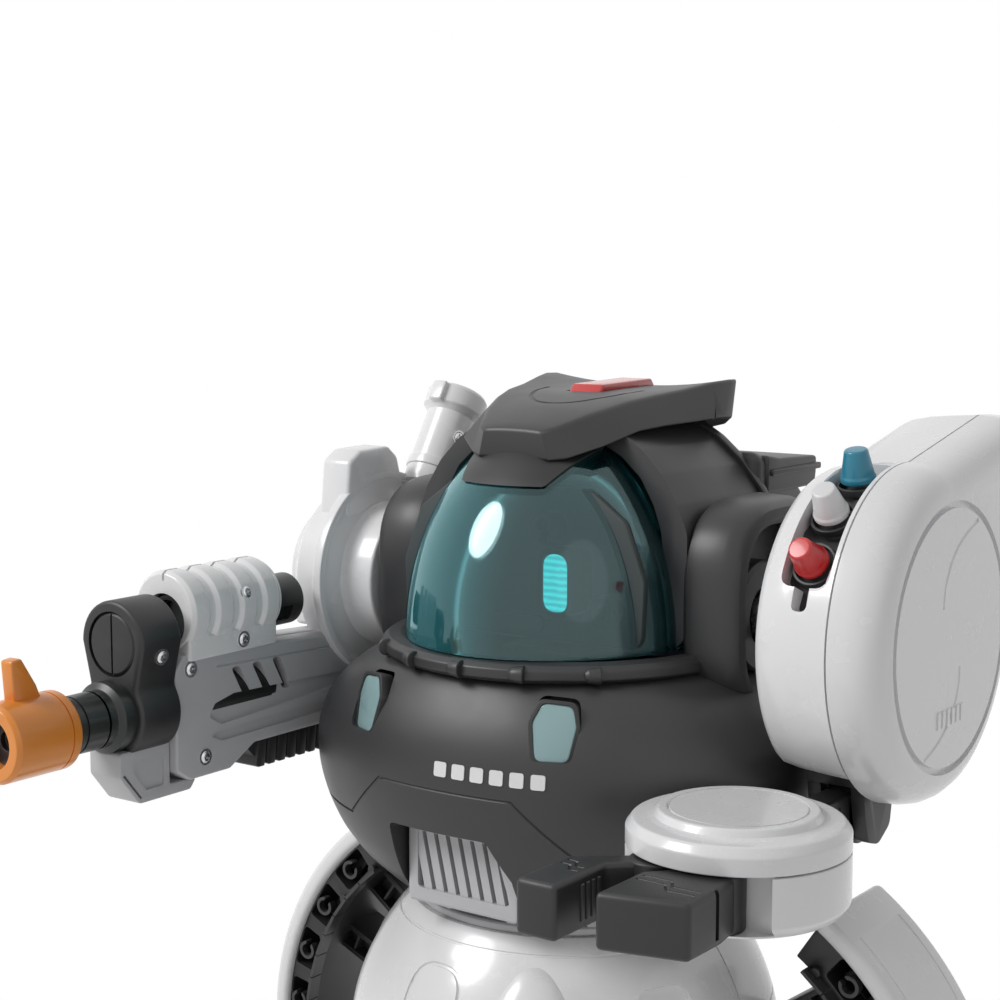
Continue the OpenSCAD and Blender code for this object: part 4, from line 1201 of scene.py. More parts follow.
def buildForearm():
    knuckle = turned("knuckle", rounded([(0, 96.6), (10.2, 96.6), (11, 97.4), (11, 104.6), (10.2, 105.4),
                                         (0, 105.4)],
                                        0.4), "X", (0, 8, 167), 56)
    bar = bevelled(box("forearmBar", (96.6, -31.5, 160), (105.4, 3, 174)), 1.2, 3)
    bar = carved(bar, [box("barPanel", (105.0, -22, 163), (107, -8, 171)), box("barPanelB", (95, -22, 163),
        (97, -8, 171))])
    wrist = bevelled(box("wrist", (92.5, -38, 158.4), (110.5, -25.5, 175.6)), 1.4, 3)
    disc = turned("handRoom", [(0, 150), (31.6, 150), (31.6, 185), (0, 185)], "Z", (102, -65, 0), 96)
    wrist = carved(wrist, [disc])
    bands = moved(repeated("wristBands", bevelled(box("band", (92.1, -0.5, 158), (110.9, 0.5, 176)), 0.25, 1),
                           finishes["black"], Count=3, Step=(0, 2.4, 0)), Matrix.Translation((0, -31.6, 0)))
    finish(joined("forearm", [knuckle, bar, wrist, bands]), "hand", "black_frame", finishes["black"],
           "forearm")


def buildHand():
    centre = (102, -65, 0)
    upper = turned("handUpper", roundCorners([(0, 183.5), (22.6, 183.5), (23.6, 181.4), (25.4, 181),
                                              (29.6, 180.7),
                                              (31.5, 178.1), (31.5, 173), (0, 173)],
                                             [0, 1.2, 0.3, 0.5, 1.6, 1.4, 0.5, 0], 5, False), "Z", centre,
                   144)
    ring = turned("crownLine", [(19.2, 184.5), (19.2, 183), (20, 183), (20, 184.5), (19.2, 184.5)], "Z",
                  centre, 120)
    upper = carved(upper, [ring])
    finish(upper, "hand", "white_shell", finishes["white"], "hand_upper_shell")
    lower = turned("handLower", roundCorners([(0, 172.5), (31.5, 172.5), (31.5, 158.6), (28.8, 155.4),
                                              (0, 155.4)],
                                             [0, 0.5, 2.2, 1.6, 0], 5, False), "Z", centre, 144)
    cuts = [hull("mouth", [[(x, y, z) for x, y in ((70, -125), (131, -125), (124, -84), (76, -84))]
                           for z in (156.4, 180)])]
    lower = carved(lower, cuts)
    posts = [turned("post", [(0, 156), (2.95, 156), (2.95, 172), (0, 172)], "Z", (x, -88, 0),
                    32) for x in (89, 109)]
    seat = turned("seat", [(0, 157), (27, 157), (27, 167), (0, 167)], "Z", centre, 96)
    seat = carved(seat, [box("seatCut", (60, -125, 150), (140, -78.5, 175))])
    finish(joined("handLower", [lower, seat] + posts), "hand", "white_shell", finishes["white"],
           "hand_lower_shell")
    screws = screwAt("handScrews", [((102 + 27 * math.cos(a), -65 + 27 * math.sin(a), 155.5), (0, 0, -1))
                                    for a in np.radians((20, 160, 90))], 0.8)
    finish(screws, "hand", "metal", finishes["metal"])


def buildClaw(name, pivot, low, high, lowTip, highTip, body, node, side):
    # side is +1 when the gripping face looks towards smaller x
    outline = [(pivot - 6, -88), (pivot + 6, -88), (high, -100), (high, highTip), (low, lowTip), (low, -100)]
    block = bevelled(slab(name, outline, "Z", 156.7, 172.3), 1.6, 4, 20)
    mid = (low + high) / 2
    cuts = []
    for shift in (0, 3.4):
        path = [(low + 2.6, -103 - shift, 172.3), (mid - 1, -103 - shift, 172.3),
                (mid + 1.4, -107 - shift, 172.3),
                (high - 2.4, -107 - shift, 172.3)]
        cuts.append(tube("clawLine", path, 0.55, 6))
    edge = high if side > 0 else low
    cuts.append(slab("sideStep", [(-103.5, 158.8), (-101.8, 158.8), (-101.8, 174), (-103.5, 174)], "X",
                     edge - 0.9, edge + 0.9))
    block = carved(block, cuts)
    hub = turned("clawHub", rounded([(0, 156.6), (7.4, 156.6), (7.4, 172.4), (0, 172.4)], 0.8), "Z",
                 (pivot, -88, 0), 48)
    inner = low if side > 0 else high
    tooth = bevelled(box("tooth", (-0.5, -0.8, -5.2), (0.5, 0.8, 5.2)), 0.25, 1)
    teeth = moved(repeated(name + "Teeth", tooth, finishes["black"], Count=4, Step=(0, -2.6, 0)),
                  Matrix.Translation((inner, -104, 164.5)))
    finish(joined(name, [block, hub, teeth]), body, "black_frame", finishes["black"], node)


buildDrum(drumShape)
buildElbow()
buildForearm()
buildHand()
buildClaw("outerClaw", 109, 92, 117, -123, -117, "outer_claw", "outer_jaw", 1)
buildClaw("innerClaw", 89, 68, 81, -124.5, -124.5, "inner_claw", "inner_jaw", -1)
print("left arm ready")


# right arm

blasterShape = {
    "x": -101.0, "half": 10.0, "bore": 190.0, "scope": 217.0,
    "side": [(-91, 169), (-91, 202), (-87, 207), (8, 202), (8, 171.6), (-54, 171.6), (-66, 165), (-85, 165)],
    "slots": (-58, -48, -38),
}


def buildShoulder():
    cy, cz = 14, 222
    disc = turned("shoulderDisc", roundCorners([(0, -115), (22, -115), (24, -113), (24, -106.6),
                                                (29.5, -106.2),
                                                (32, -103.6), (32, -94.2), (34.4, -94), (37, -92),
                                                (37, -88.4),
                                                (34.6, -88.2), (34.2, -89.4), (33.2, -89.4), (26, -88.2),
                                                (26, -74.5), (0, -74.5)],
                                               [0, 1.5, 1.5, 1, 1.6, 1.8, 0.8, 1.2, 1.2, 0.6, 0.3, 0.2, 0.2,
                                                0.3, 1.2, 0],
                                               4, False), "X", (0, cy, cz), 144)
    top = slab("shoulderLug", roundCorners([(-8, 244), (-6, 264), (0, 267.5), (16, 268), (21, 264),
                                            (27, 244)],
                                           [0, 3, 3, 3, 3, 0], 4), "X", -101.5, -88.4)
    top = bevelled(top, 1.6, 3, 30)
    front = slab("frontLug", roundCorners([(-12, 204.4), (-12.5, 226), (-7, 238), (2, 241), (20, 240),
                                           (22, 204.4)],
                                          [0, 6, 6, 4, 3, 0], 5), "X", -110.4, -91.6)
    front = bevelled(front, 1.8, 3, 30)
    shell = carved(joined("shoulderShell", [disc]), [turned("lugWell",
                                                            rounded([(0, -91.9), (2.9, -91.9), (3.1, -90),
                                                                     (0, -90)], 0.2), "X", (0, -6, 209), 32)])
    finish(joined("shoulderShell", [shell, top, front]), "right_arm", "white_shell", finishes["white"],
           "right_shoulder_shell")
    screws = screwAt("shoulderScrews", [((-91.2, -6, 209), (1, 0, 0)), ((-91.2, 16, 231), (1, 0, 0))], 0.9)
    finish(screws, "right_arm", "metal", finishes["metal"])


def buildExhaust():
    lean = Matrix.Translation((-84, 30, 248)) @ Matrix.Rotation(math.radians(-31), 4, "X")
    pipe = turned("exhaust", roundCorners([(0, 4), (9.5, 4), (9.2, 33), (10.4, 34.4), (11.5, 35.4),
                                           (11.5, 41.6),
                                           (10.4, 43), (8.6, 43), (8.2, 40), (0, 40)],
                                          [0, 0, 0.6, 0.8, 0.8, 1.0, 0.6, 0.5, 0.2, 0], 4, False), "Z",
                  (0, 0, 0), 80)
    fin = bevelled(box("capTab", (-3, -13.2, 34.6), (3, -9, 42.4)), 0.9, 3)
    band = turned("band", rounded([(9.1, 10), (10.1, 10.4), (10.1, 13.6), (9.1, 14), (9.1, 10)], 0.3), "Z",
                  (0, 0, 0), 80)
    pipe = moved(joined("exhaust", [pipe, fin, band]), lean)
    finish(pipe, "right_arm", "white_shell", finishes["white"], "exhaust_tube")
    plug = turned("exhaustPlug", rounded([(0, 42), (7.4, 42), (8.1, 41.2), (8.1, 39.6), (0, 39.6)], 0.4), "Z",
                  (0, 0, 0), 64)
    cut = [turned("plugRing", [(4, 43), (4, 41.4), (5, 41.4), (5, 43), (4, 43)], "Z", (0, 0, 0), 48)]
    finish(moved(carved(plug, cut), lean), "right_arm", "black_frame", finishes["black"])
    spot = lean @ Vector((8.9, -2.6, 24))
    out = (lean.to_3x3() @ Vector((0.96, -0.28, 0)))
    finish(screwAt("exhaustScrew", [(spot, out)]), "right_arm", "metal", finishes["metal"])


def buildBlaster(s):
    x, half = s["x"], s["half"]
    for side, node, name in ((1, "blaster_inner_half", "blasterInner"), (-1, "blaster_outer_half",
        "blasterOuter")):
        low, high = sorted((x + side * 0.2, x + side * half))
        face = x + side * half
        body = slab(name, roundCorners(s["side"], [2, 2, 2, 2, 2, 1, 3, 3], 4), "X", low, high)
        body = bevelled(body, 1.6, 3, 30)
        cuts = []
        for y in s["slots"]:
            cuts.append(slab("slot", roundCorners([(y - 0.6, 187.4), (y + 3.4, 187.4), (y - 3.2, 199.4),
                                                   (y - 7.2, 199.4)], 1.9, 5), "X",
                             min(face, face - side * 4),
                             max(face, face - side * 4) + 1))
        recess = roundCorners([(-76, 184.4), (-73, 188.6), (-64, 190.6), (4, 188.4), (4, 185), (-70, 181)],
                              1.6, 4)
        cuts.append(slab("recess", recess, "X", min(face - side * 1.2, face + side), max(face - side * 1.2,
            face + side)))
        lowPanel = roundCorners([(-75, 177.6), (-73, 179), (4, 180.4), (4, 176.4), (-70, 175.4)], 1.2, 4)
        cuts.append(slab("lowPanel", lowPanel, "X", min(face - side * 0.9, face + side),
                         max(face - side * 0.9, face + side)))
        cuts.append(tube("topLine", [(face, yy, 201.2 - (yy + 80) * 0.04) for yy in np.linspace(-72, 6, 20)],
                         0.45, 6))
        bore = turned("boreRoom", [(0, -90), (9.6, -90), (9.6, -44), (0, -44)], "Y", (x, 0, s["bore"]), 48)
        body = carved(body, cuts + [bore])
        lining = box("slotLining", (min(face - side * 4.4, face - side * 3.6), -68, 185),
                     (max(face - side * 4.4, face - side * 3.6), -32, 201))
        finish(body, "right_arm", "blaster_grey", finishes["grey"], node)
        finish(lining, "right_arm", "black_frame", finishes["black"])
    spots = [((x + half, -84, 202), (1, 0, 0)), ((x + half, -78, 171.5), (1, 0, 0)), ((x + half, 2, 197), (1,
        0, 0)),
             ((x - half, -84, 202), (-1, 0, 0)), ((x - half, -78, 171.5), (-1, 0, 0)), ((x - half, 2, 197),
                 (-1, 0, 0))]
    finish(screwAt("blasterScrews", spots), "right_arm", "metal", finishes["metal"], "arm_screws")


def buildBarrel(s):
    at = (s["x"], 0, s["bore"])
    barrel = turned("barrel", roundCorners([(0, -136.6), (9.3, -136.6), (9.4, -115.2), (11.5, -114),
                                            (11.5, -106.4),
                                            (10.4, -105.4), (9.4, -104), (9.4, -42), (0, -42)], 0.5, 3,
                                           False), "Y", at, 96)
    rings = [turned("barrelLine", [(8.9, y), (11, y), (11, y + 0.8), (8.9, y + 0.8), (8.9, y)], "Y", at, 72)
             for y in (-128, -119)]
    barrel = carved(barrel, rings)
    finish(barrel, "right_arm", "barrel_black", finishes["barrel"], "blaster_barrel")
    tip = turned("muzzle", roundCorners([(7.8, -157.6), (11.4, -157.9), (12.5, -156.4), (12.5, -133.2),
                                         (11.6, -132.2),
                                         (9.5, -132.2), (9.5, -137), (7.8, -138.4), (7.8, -157.6)], 0.6, 4,
                                        False), "Y", at, 112)
    tip = carved(tip, [turned("tipLine",
                              [(12.1, -136.6), (13, -136.6), (13, -136), (12.1, -136), (12.1, -136.6)], "Y",
                              at, 96)])
    sight = bevelled(slab("sight", roundCorners([(-150.5, 200), (-139.6, 200), (-142, 206), (-147.6, 215),
                                                 (-151.6, 214.6)],
                                                [0, 0, 1.5, 1.2, 1.2]), "X", s["x"] - 2.6, s["x"] + 2.6), 0.7,
                     3)
    finish(joined("muzzle", [tip, sight]), "right_arm", "safety_orange", finishes["orange"], "blaster_tip")
    plug = turned("muzzlePlug", rounded([(0, -150), (3, -150), (3, -152), (7.9, -152), (7.9, -147),
                                         (0, -147)], 0.3), "Y", at, 48)
    finish(plug, "right_arm", "barrel_black", finishes["barrel"])


def buildScope(s):
    at = (s["x"], 0, s["scope"])
    scope = turned("scope", roundCorners([(0, -80), (6.6, -80), (6.8, -84), (8.4, -84), (9, -83.2),
                                          (9, -27.4), (8.2, -26.6),
                                          (7.2, -26.6), (7, -30), (0, -30)], 0.5, 3, False), "Y", at, 80)
    window = box("scopeWindow", (s["x"] + 5, -40, s["scope"] - 6), (s["x"] + 12, -33, s["scope"] - 1))
    scope = carved(scope, [window])
    finish(scope, "right_arm", "barrel_black", finishes["barrel"], "scope_tube")
    at = (s["x"], 0, 220)
    profile = [(0, -86)]
    for k in range(4):
        y = -86 + 11.2 * k
        profile += [(12.7, y + 0.1), (13.9, y + 1.6), (13.9, y + 7.2), (12.7, y + 8.9)]
    profile += [(12.7, -42.6), (0, -42.6)]
    clamp = turned("clamp", roundCorners(profile, 0.9, 4, False), "Y", at, 96)
    skirt = bevelled(box("clampSkirt", (s["x"] - 11, -85.4, 204.4), (s["x"] + 11, -43.2, 220)), 1.2, 3)
    under = box("clampUnder", (s["x"] - 20, -90, 190), (s["x"] + 20, -30, 204.5))
    split = box("clampSplit", (s["x"] - 0.5, -90, 230.6), (s["x"] + 0.5, -38, 240))
    bore = turned("clampBore", [(0, -90), (9.4, -90), (9.4, -40), (0, -40)], "Y", (s["x"], 0, s["scope"]), 64)
    pockets = []
    for k in range(3):
        y = -77.1 + 11.2 * k + 2.2
        pockets.append(box("rubWell", (s["x"] + 10.3, y - 1.6, 212), (s["x"] + 15, y + 1.6, 216.4)))
    clamp = carved(clamp, [under, split, bore])
    skirtBore = turned("clampBoreB", [(0, -90), (9.4, -90), (9.4, -40), (0, -40)], "Y",
                       (s["x"], 0, s["scope"]), 64)
    skirt = carved(skirt, [skirtBore] + pockets)
    finish(joined("clamp", [clamp, skirt]), "right_arm", "white_shell", finishes["white"], "scope_clamp")
    finish(screwAt("clampScrews", [((s["x"] + 12.6, -60, 224.5), (0.94, 0, 0.34)), ((s["x"] + 11, -60, 208.4),
        (1, 0, 0)),
                                   ((s["x"] - 12.6, -60, 224.5), (-0.94, 0, 0.34)),
                                   ((s["x"] - 11, -60, 208.4), (-1, 0, 0))]),
           "right_arm", "metal", finishes["metal"])


def buildBracket(s):
    x = s["x"]
    outline = arcPoints(x, 213, 14, 0, 180, 24) + [(x - 12, 205), (x - 10.6, 199)] + \
        arcPoints(x, 190, 13.5, 152, 388, 34) + [(x + 10.6, 199), (x + 12, 205)]
    bracket = bevelled(slab("bracket", roundCorners(outline, 0, 1), "Y", -109, -91.4), 1.3, 3, 32)
    cuts = [turned("faceWell", rounded([(0, -111), (10.6, -111), (10.6, -107.6), (0, -107.6)], 0.2), "Y",
                   (x, 0, 213), 64),
            turned("boreWell", [(0, -115), (9.5, -115), (9.5, -80), (0, -80)], "Y", (x, 0, 190), 64)]
    bracket = carved(bracket, cuts)
    finish(bracket, "right_arm", "black_frame", finishes["black"], "front_bracket")
    disc = turned("bracketDisc", rounded([(0, -108.9), (9.4, -108.9), (10.4, -107.9), (10.4, -106.5),
                                          (0, -106.5)], 0.5),
                  "Y", (x, 0, 213), 64)
    line = box("discLine", (x - 0.4, -111, 200), (x + 0.4, -108.4, 226))
    finish(carved(disc, [line]), "right_arm", "black_frame", finishes["black"])
    finish(screwAt("bracketScrew", [((x + 13.3, -100, 209), (0.97, 0, -0.2)), ((x - 13.3, -100, 209),
        (-0.97, 0, -0.2))]),
           "right_arm", "metal", finishes["metal"])


def buildGrip(s):
    x = s["x"]
    core = bevelled(slab("gripCore", roundCorners([(-58, 171.6), (-51, 164.6), (-13, 165), (-12, 171.6)], 1),
                         "X", x - 8, x + 8), 0.5, 2)
    rib = bevelled(slab("gripRib", [(-1.5, 171.5), (-2.8, 163), (-1.2, 162.2), (1.6, 162.2), (2.6, 171.5)],
                        "X", x - 9.2, x + 9.2), 0.5, 2)
    ribs = moved(repeated("gripRibs", rib, finishes["black"], Count=8, Step=(0, 5.2, 0)),
                 Matrix.Translation((0, -50, 0)))
    finish(joined("grip", [core, ribs]), "right_arm", "black_frame", finishes["black"], "under_grip")
    block = slab("lowerBlock", roundCorners([(-113, 179), (-113, 171), (-105, 161), (-82, 161), (-79, 164.7),
                                             (-91.3, 164.7),
                                             (-91.3, 179)], [1.5, 2, 3, 2, 1, 0.5, 0.5], 4), "X", x - 7,
                 x + 7)
    block = bevelled(block, 1.4, 3, 30)
    cuts = [slab("blockLine", [(-111.8, 171.4), (-104.4, 162.4), (-103.8, 162.9), (-111, 171.8)], "X", x - 9,
                 x + 9),
            slab("blockPanel", roundCorners([(-107, 175), (-107, 171.5), (-102, 165), (-94, 165), (-94, 175)],
                                            1.5), "X", x + 6.2, x + 9)]
    finish(carved(block, cuts), "right_arm", "blaster_grey", finishes["grey"], "lower_block")


buildShoulder()
buildExhaust()
buildBlaster(blasterShape)
buildBarrel(blasterShape)
buildScope(blasterShape)
buildBracket(blasterShape)
buildGrip(blasterShape)
print("right arm ready")

# lower body

pelvisShape = {"radius": 73.0, "height": 72.0, "low": 16.0, "high": 124.0}


def onBall(turn, z, grow=0.0):
    # turn is degrees from straight ahead towards the left side
    s = pelvisShape
    ring = math.sqrt(max(s["radius"] ** 2 - (z - s["height"]) ** 2, 0)) * (s["radius"] + grow) / s["radius"]
    a = math.radians(turn)
    return (ring * math.sin(a), -ring * math.cos(a),
            s["height"] + (z - s["height"]) * (s["radius"] + grow) / s["radius"])


def ballPatch(name, outline, low, high):
    return hull(name, [[onBall(t, z, grow) for t, z in outline] for grow in (low, high)])


def patchOutline(turn, z, halfTurn, halfHigh, corner):
    flat = roundCorners([(-halfTurn, -halfHigh), (halfTurn, -halfHigh), (halfTurn, halfHigh),
                         (-halfTurn, halfHigh)],
                        corner, 5)
    out = []
    for (a0, b0), (a1, b1) in zip(flat, flat[1:] + flat[:1]):
        steps = max(1, int(math.hypot(a1 - a0, b1 - b0) / 2.5))
        out += [(turn + a0 + (a1 - a0) * k / steps, z + b0 + (b1 - b0) * k / steps) for k in range(steps)]
    return out


def buildPelvis(s):
    r, mid = s["radius"], s["height"]
    angles = np.linspace(math.asin((s["low"] - mid) / r), math.asin((s["high"] - mid) / r), 64)
    profile = [(0, s["low"])] + [(r * math.cos(a), mid + r * math.sin(a)) for a in angles] + [(0, s["high"])]
    ball = turned("pelvisBall", profile, "Z", (0, 0, 0), 160)
    front = carved(newCopy(ball), [box("rearHalf", (-90, -0.2, 0), (90, 90, 140))])
    rear = carved(ball, [box("frontHalf", (-90, -90, 0), (90, 0.5, 140))])
    cuts = [ballPatch("recess", patchOutline(turn, 95, 8.5, 15, 5), -1.4, 2) for turn in (63, -63)]
    cuts += [tube("archLine", [onBall(t, z, 0) for t, z in patchOutline(turn, 92, 9, 21, 8)], 0.8, 6, True)
             for turn in (-6,)]
    cuts.append(tube("neckLine", [onBall(t, 119.5, 0) for t in np.linspace(-180, 175, 72)], 0.5, 6, True))
    front = carved(front, cuts)
    rings = []
    for share in (0.02, 0.3, 0.55, 0.75, 0.88, 0.96, 1.0, 1.02):
        lift = 3.2 * (1 - share ** 5) - 0.6 if share <= 1 else -3
        rings.append([onBall(25 + 14.5 * share * math.cos(a), 84 + 34 * share * math.sin(a), lift)
                      for a in np.linspace(0, 2 * math.pi, 64, endpoint=False)])
    finish(joined("pelvisFront", [front, hull("frontPad", rings)]), "root", "white_shell", finishes["white"],
           "pelvis_front_shell")
    door = patchOutline(180, 44, 27, 17, 6)
    rear = carved(rear, [box("switchSlot", (-10, 60, 66), (10, 90, 78)), ballPatch("doorWell", door, -3, 3),
                         tube("rearLine", [onBall(t, 92, 0) for t in np.linspace(100, 260, 60)], 0.5, 6)])
    finish(rear, "root", "white_shell", finishes["white"], "pelvis_rear_shell")
    inset = [(180 + (t - 180) * 0.985, 44 + (z - 44) * 0.975) for t, z in door]
    panel = ballPatch("batteryDoor", inset, -2.6, -0.2)
    rib = box("gripRib", (-9, -0.5, -0.4), (9, 0.5, 0.5))
    ribs = moved(repeated("doorRibs", rib, finishes["white"], Count=4, Step=(0, 0, 2.4)),
                 Matrix.Translation((0, onBall(180, 50)[1] - 0.4, 50)))
    finish(joined("batteryDoor", [panel, ribs]), "root", "white_shell", finishes["white"], "battery_door")
    finish(screwAt("doorScrew", [(onBall(180, 33, -0.4), (0, 0.85, -0.52))]), "root", "metal",
           finishes["metal"])
    knob = bevelled(box("switchKnob", (-4, 66, 69), (3, 75, 75)), 0.7, 3)
    base = bevelled(box("switchBase", (-6, 64, 68), (5, 66, 76)), 0.3, 1)
    grip = moved(repeated("switchGrip", box("gripBar", (-0.35, 0, -2.6), (0.35, 0.6, 2.6)), finishes["black"],
                          Count=4,
                          Step=(1.4, 0, 0)), Matrix.Translation((-2.6, 74.6, 72)))
    finish(joined("powerSwitch", [knob, base, grip]), "switch_knob", "black_frame", finishes["black"],
           "power_switch")


def buildNeck():
    neck = turned("neckRing", roundCorners([(18.2, 96), (18.2, 122), (43.4, 121), (44, 124), (49.4, 124),
                                            (50, 124.6), (50, 126.4),
                                            (49.4, 127), (47.4, 127.2), (47, 128.8), (46.4, 129.4),
                                            (18.2, 129.4), (18.2, 96)],
                                           0.4, 3, False), "Z", (0, 0, 0), 128)
    hook = bevelled(box("hook", (46.2, -1.6, 126.8), (49.6, 1.6, 129.6)), 0.4, 2)
    hooks = repeated("neckHooks", hook, finishes["grey"], Count=12, Sweep=math.radians(30),
                     Start=math.radians(14))
    finish(joined("neckRing", [neck, hooks]), "root", "blaster_grey", finishes["grey"], "waist_bearing")
    plate = turned("basePlate", roundCorners([(0, 13.2), (29, 13.2), (30, 14), (30, 18), (0, 18)], 0.4, 3,
                                             False), "Z",
                   (0, 0, 0), 96)
    holes = [turned("mountHole", [(0, 10), (1.6, 10), (1.6, 40), (0, 40)], "Z",
                    (22 * math.cos(a), 22 * math.sin(a), 0), 24) for a in np.radians((45, 135, 225, 315))]
    holes.append(turned("plateRing", [(25.5, 13.8), (25.5, 12), (26.3, 12), (26.3, 13.8), (25.5, 13.8)], "Z",
                        (0, 0, 0), 96))
    finish(carved(plate, holes), "root", "black_frame", finishes["black"], "base_plate")


def polar(r, degrees):
    a = math.radians(degrees)
    return 36 + r * math.cos(a), 44 + r * math.sin(a)


def arcBand(low, high, start, end, steps=40):
    return [polar(high, a) for a in np.linspace(start, end, steps)] + \
        [polar(low, a) for a in np.linspace(end, start, steps)]


def buildLegs():
    shell = slab("legShell", arcBand(97.5, 104, -7.5, 57), "Y", 6.2, 47.8)
    shell = bevelled(shell, 2.4, 4, 40)
    lines = [tube("legLine", [(polar(104, a)[0], y, polar(104, a)[1]) for a in np.linspace(2, 50, 40)], 0.5,
                  6)
             for y in (13, 41)]
    shell = carved(shell, lines + [slab("legHollow", arcBand(80, 99.8, -12, 62), "Y", 8.4, 45.6)])
    finish(bothSides(shell, "legShells"), "root", "white_shell", finishes["white"], "leg_shells")
    frame = slab("legFrame", arcBand(85, 99.6, -7, 56.5), "Y", 8.6, 45.4)
    cuts = []
    for turn in (0, 13, 26, 39):
        pocket = roundCorners([polar(88, turn + 1), polar(97.2, turn + 1), polar(97.2, turn + 10.4),
                               polar(88, turn + 10.4)],
                              1.6, 3)
        cuts.append(slab("pocket", pocket, "Y", 4, 23))
        cuts.append(slab("pocketRear", pocket, "Y", 31, 50))
    frame = carved(frame, cuts)
    frame = bevelled(frame, 0.5, 2, 40)
    clip = turned("clip", [(2.3, -1.6), (2.3, 1.4), (3.5, 1.4), (3.5, -1.6), (2.3, -1.6)], "Z", (0, 0, 0), 28)
    clip = carved(clip, [box("clipGap", (-1.2, 0, -3), (1.2, 6, 3))])
    clip.data.transform(Matrix.Translation((92.6, 0, 0)))
    clips = repeated("legClips", clip, finishes["black"], Count=4, Start=math.radians(5.7),
                     Sweep=math.radians(13))
    pin = turned("legPin", rounded([(0, -1), (1.7, -1), (1.7, 2.4), (0, 2.4)], 0.3), "Z", (86.8, 0, 0), 20)
    pins = repeated("legPins", pin, finishes["black"], Count=5, Start=math.radians(-1),
                    Sweep=math.radians(13))
    rail = box("legRail", (84.6, -4.6, -0.4), (85.8, 4.6, 5))
    rails = repeated("legRails", rail, finishes["black"], Count=9, Start=math.radians(-2),
                     Sweep=math.radians(6.5))
    stand = Matrix.Translation((36, 8.8, 44)) @ Matrix.Rotation(math.radians(90), 4, "X")
    extras = [moved(obj, stand) for obj in (clips, pins, rails)]
    finish(bothSides(joined("legFrame", [frame] + extras), "legFrames"), "root", "black_frame",
           finishes["black"],
           "leg_frames")
    struts = []
    for outline in ([(52, 78), (60, 68), (112, 106), (102, 114)],
                    [(52, 58), (60, 50), (121, 76.5), (118, 86.5)],
                    [(50.5, 50), (59, 50), (59, 90), (50.5, 90)]):
        bar = bevelled(slab("strut", outline, "Y", 18.2, 35.8), 0.8, 2)
        cx, cz = (sum(p[k] for p in outline) / 4 for k in (0, 1))
        long, short = Vector(outline[2]) - Vector(outline[1]), Vector(outline[1]) - Vector(outline[0])
        size, width = long.length, short.length
        way, across = long.normalized(), short.normalized()
        panel = [Vector((cx, cz)) + way * a * (size / 2 - 5) + across * b * (width / 2 - 2.2)
                 for a, b in ((-1, -1), (1, -1), (1, 1), (-1, 1))]
        bar = carved(bar, [slab("channel", [tuple(p) for p in panel], "Y", 10, 23.5),
                           slab("channelRear", [tuple(p) for p in panel], "Y", 30.5, 44)])
        count = max(2, int((size - 10) / 9))
        web = box("web", (-0.5, -width / 2 + 1.6, -4), (0.5, width / 2 - 1.6, 4))
        webs = repeated("webs", web, finishes["black"], Count=count, Step=(9, 0, 0))
        turn = math.atan2(way.y, way.x)
        webs = moved(webs, Matrix.Translation((cx - way.x * (count - 1) * 4.5, 23,
                                               cz - way.y * (count - 1) * 4.5)) @
                     Matrix.Rotation(math.radians(90), 4, "X") @ Matrix.Rotation(turn, 4, "Z"))
        struts += [bar, webs]
    finish(bothSides(joined("strut", struts), "legStruts"), "root", "black_frame", finishes["black"],
           "leg_struts")


def buildFeet():
    outline = roundCorners([(-62, 3.4), (-62, 17), (-54, 24), (-46, 29.6), (46, 29.6), (54, 24), (62, 17),
                            (62, 3.4)],
                           [2, 4, 4, 4, 4, 4, 4, 2], 5)
    foot = bevelled(slab("foot", outline, "X", 101.2, 138.8), 2.2, 4, 30)
    cuts = [turned("wheelWell", [(0, 113.4), (13.8, 113.4), (13.8, 126.6), (0, 126.6)], "X", (0, y, 12), 64)
            for y in (-40, 40)]
    cuts += [box("wellFloor", (113.4, y - 13.8, 0), (126.6, y + 13.8, 12)) for y in (-40, 40)]
    cuts += [slab("sidePanel", roundCorners([(-26, 8), (26, 8), (22, 24), (-22, 24)], 2.5), "X", x0, x1)
             for x0, x1 in ((137.6, 141), (99, 102.4))]
    cuts += [turned("axleRing", [(4.6, x0), (5.6, x0), (5.6, x1), (4.6, x1), (4.6, x0)], "X", (0, y, 12), 48)
             for y in (-40, 40) for x0, x1 in ((138, 141), (99, 102))]
    cuts.append(tube("footLine", [(120 + 19 * a, b * 61.8, 12.5) for a, b in ((-1, -1), (1, -1), (1, 1),
        (-1, 1))], 0.1, 4, True))
    foot = carved(foot, cuts[:-1])
    discard(cuts[-1])
    tread = bevelled(box("topRib", (-15, -0.9, 0), (15, 0.9, 1.1)), 0.35, 2)
    ribs = moved(repeated("footRibs", tread, finishes["black"], Count=9, Step=(0, 4.6, 0)),
                 Matrix.Translation((120, -43, 29.2)))
    more = moved(repeated("sideRibs", box("sideRib", (137.8, -0.7, 9), (138.7, 0.7, 23)), finishes["black"],
                          Count=9,
                          Step=(0, 4.6, 0)), Matrix.Translation((0, -18.4, 0)))
    finish(bothSides(joined("foot", [foot, ribs, more]), "feet"), "root", "black_frame", finishes["black"],
           "feet")


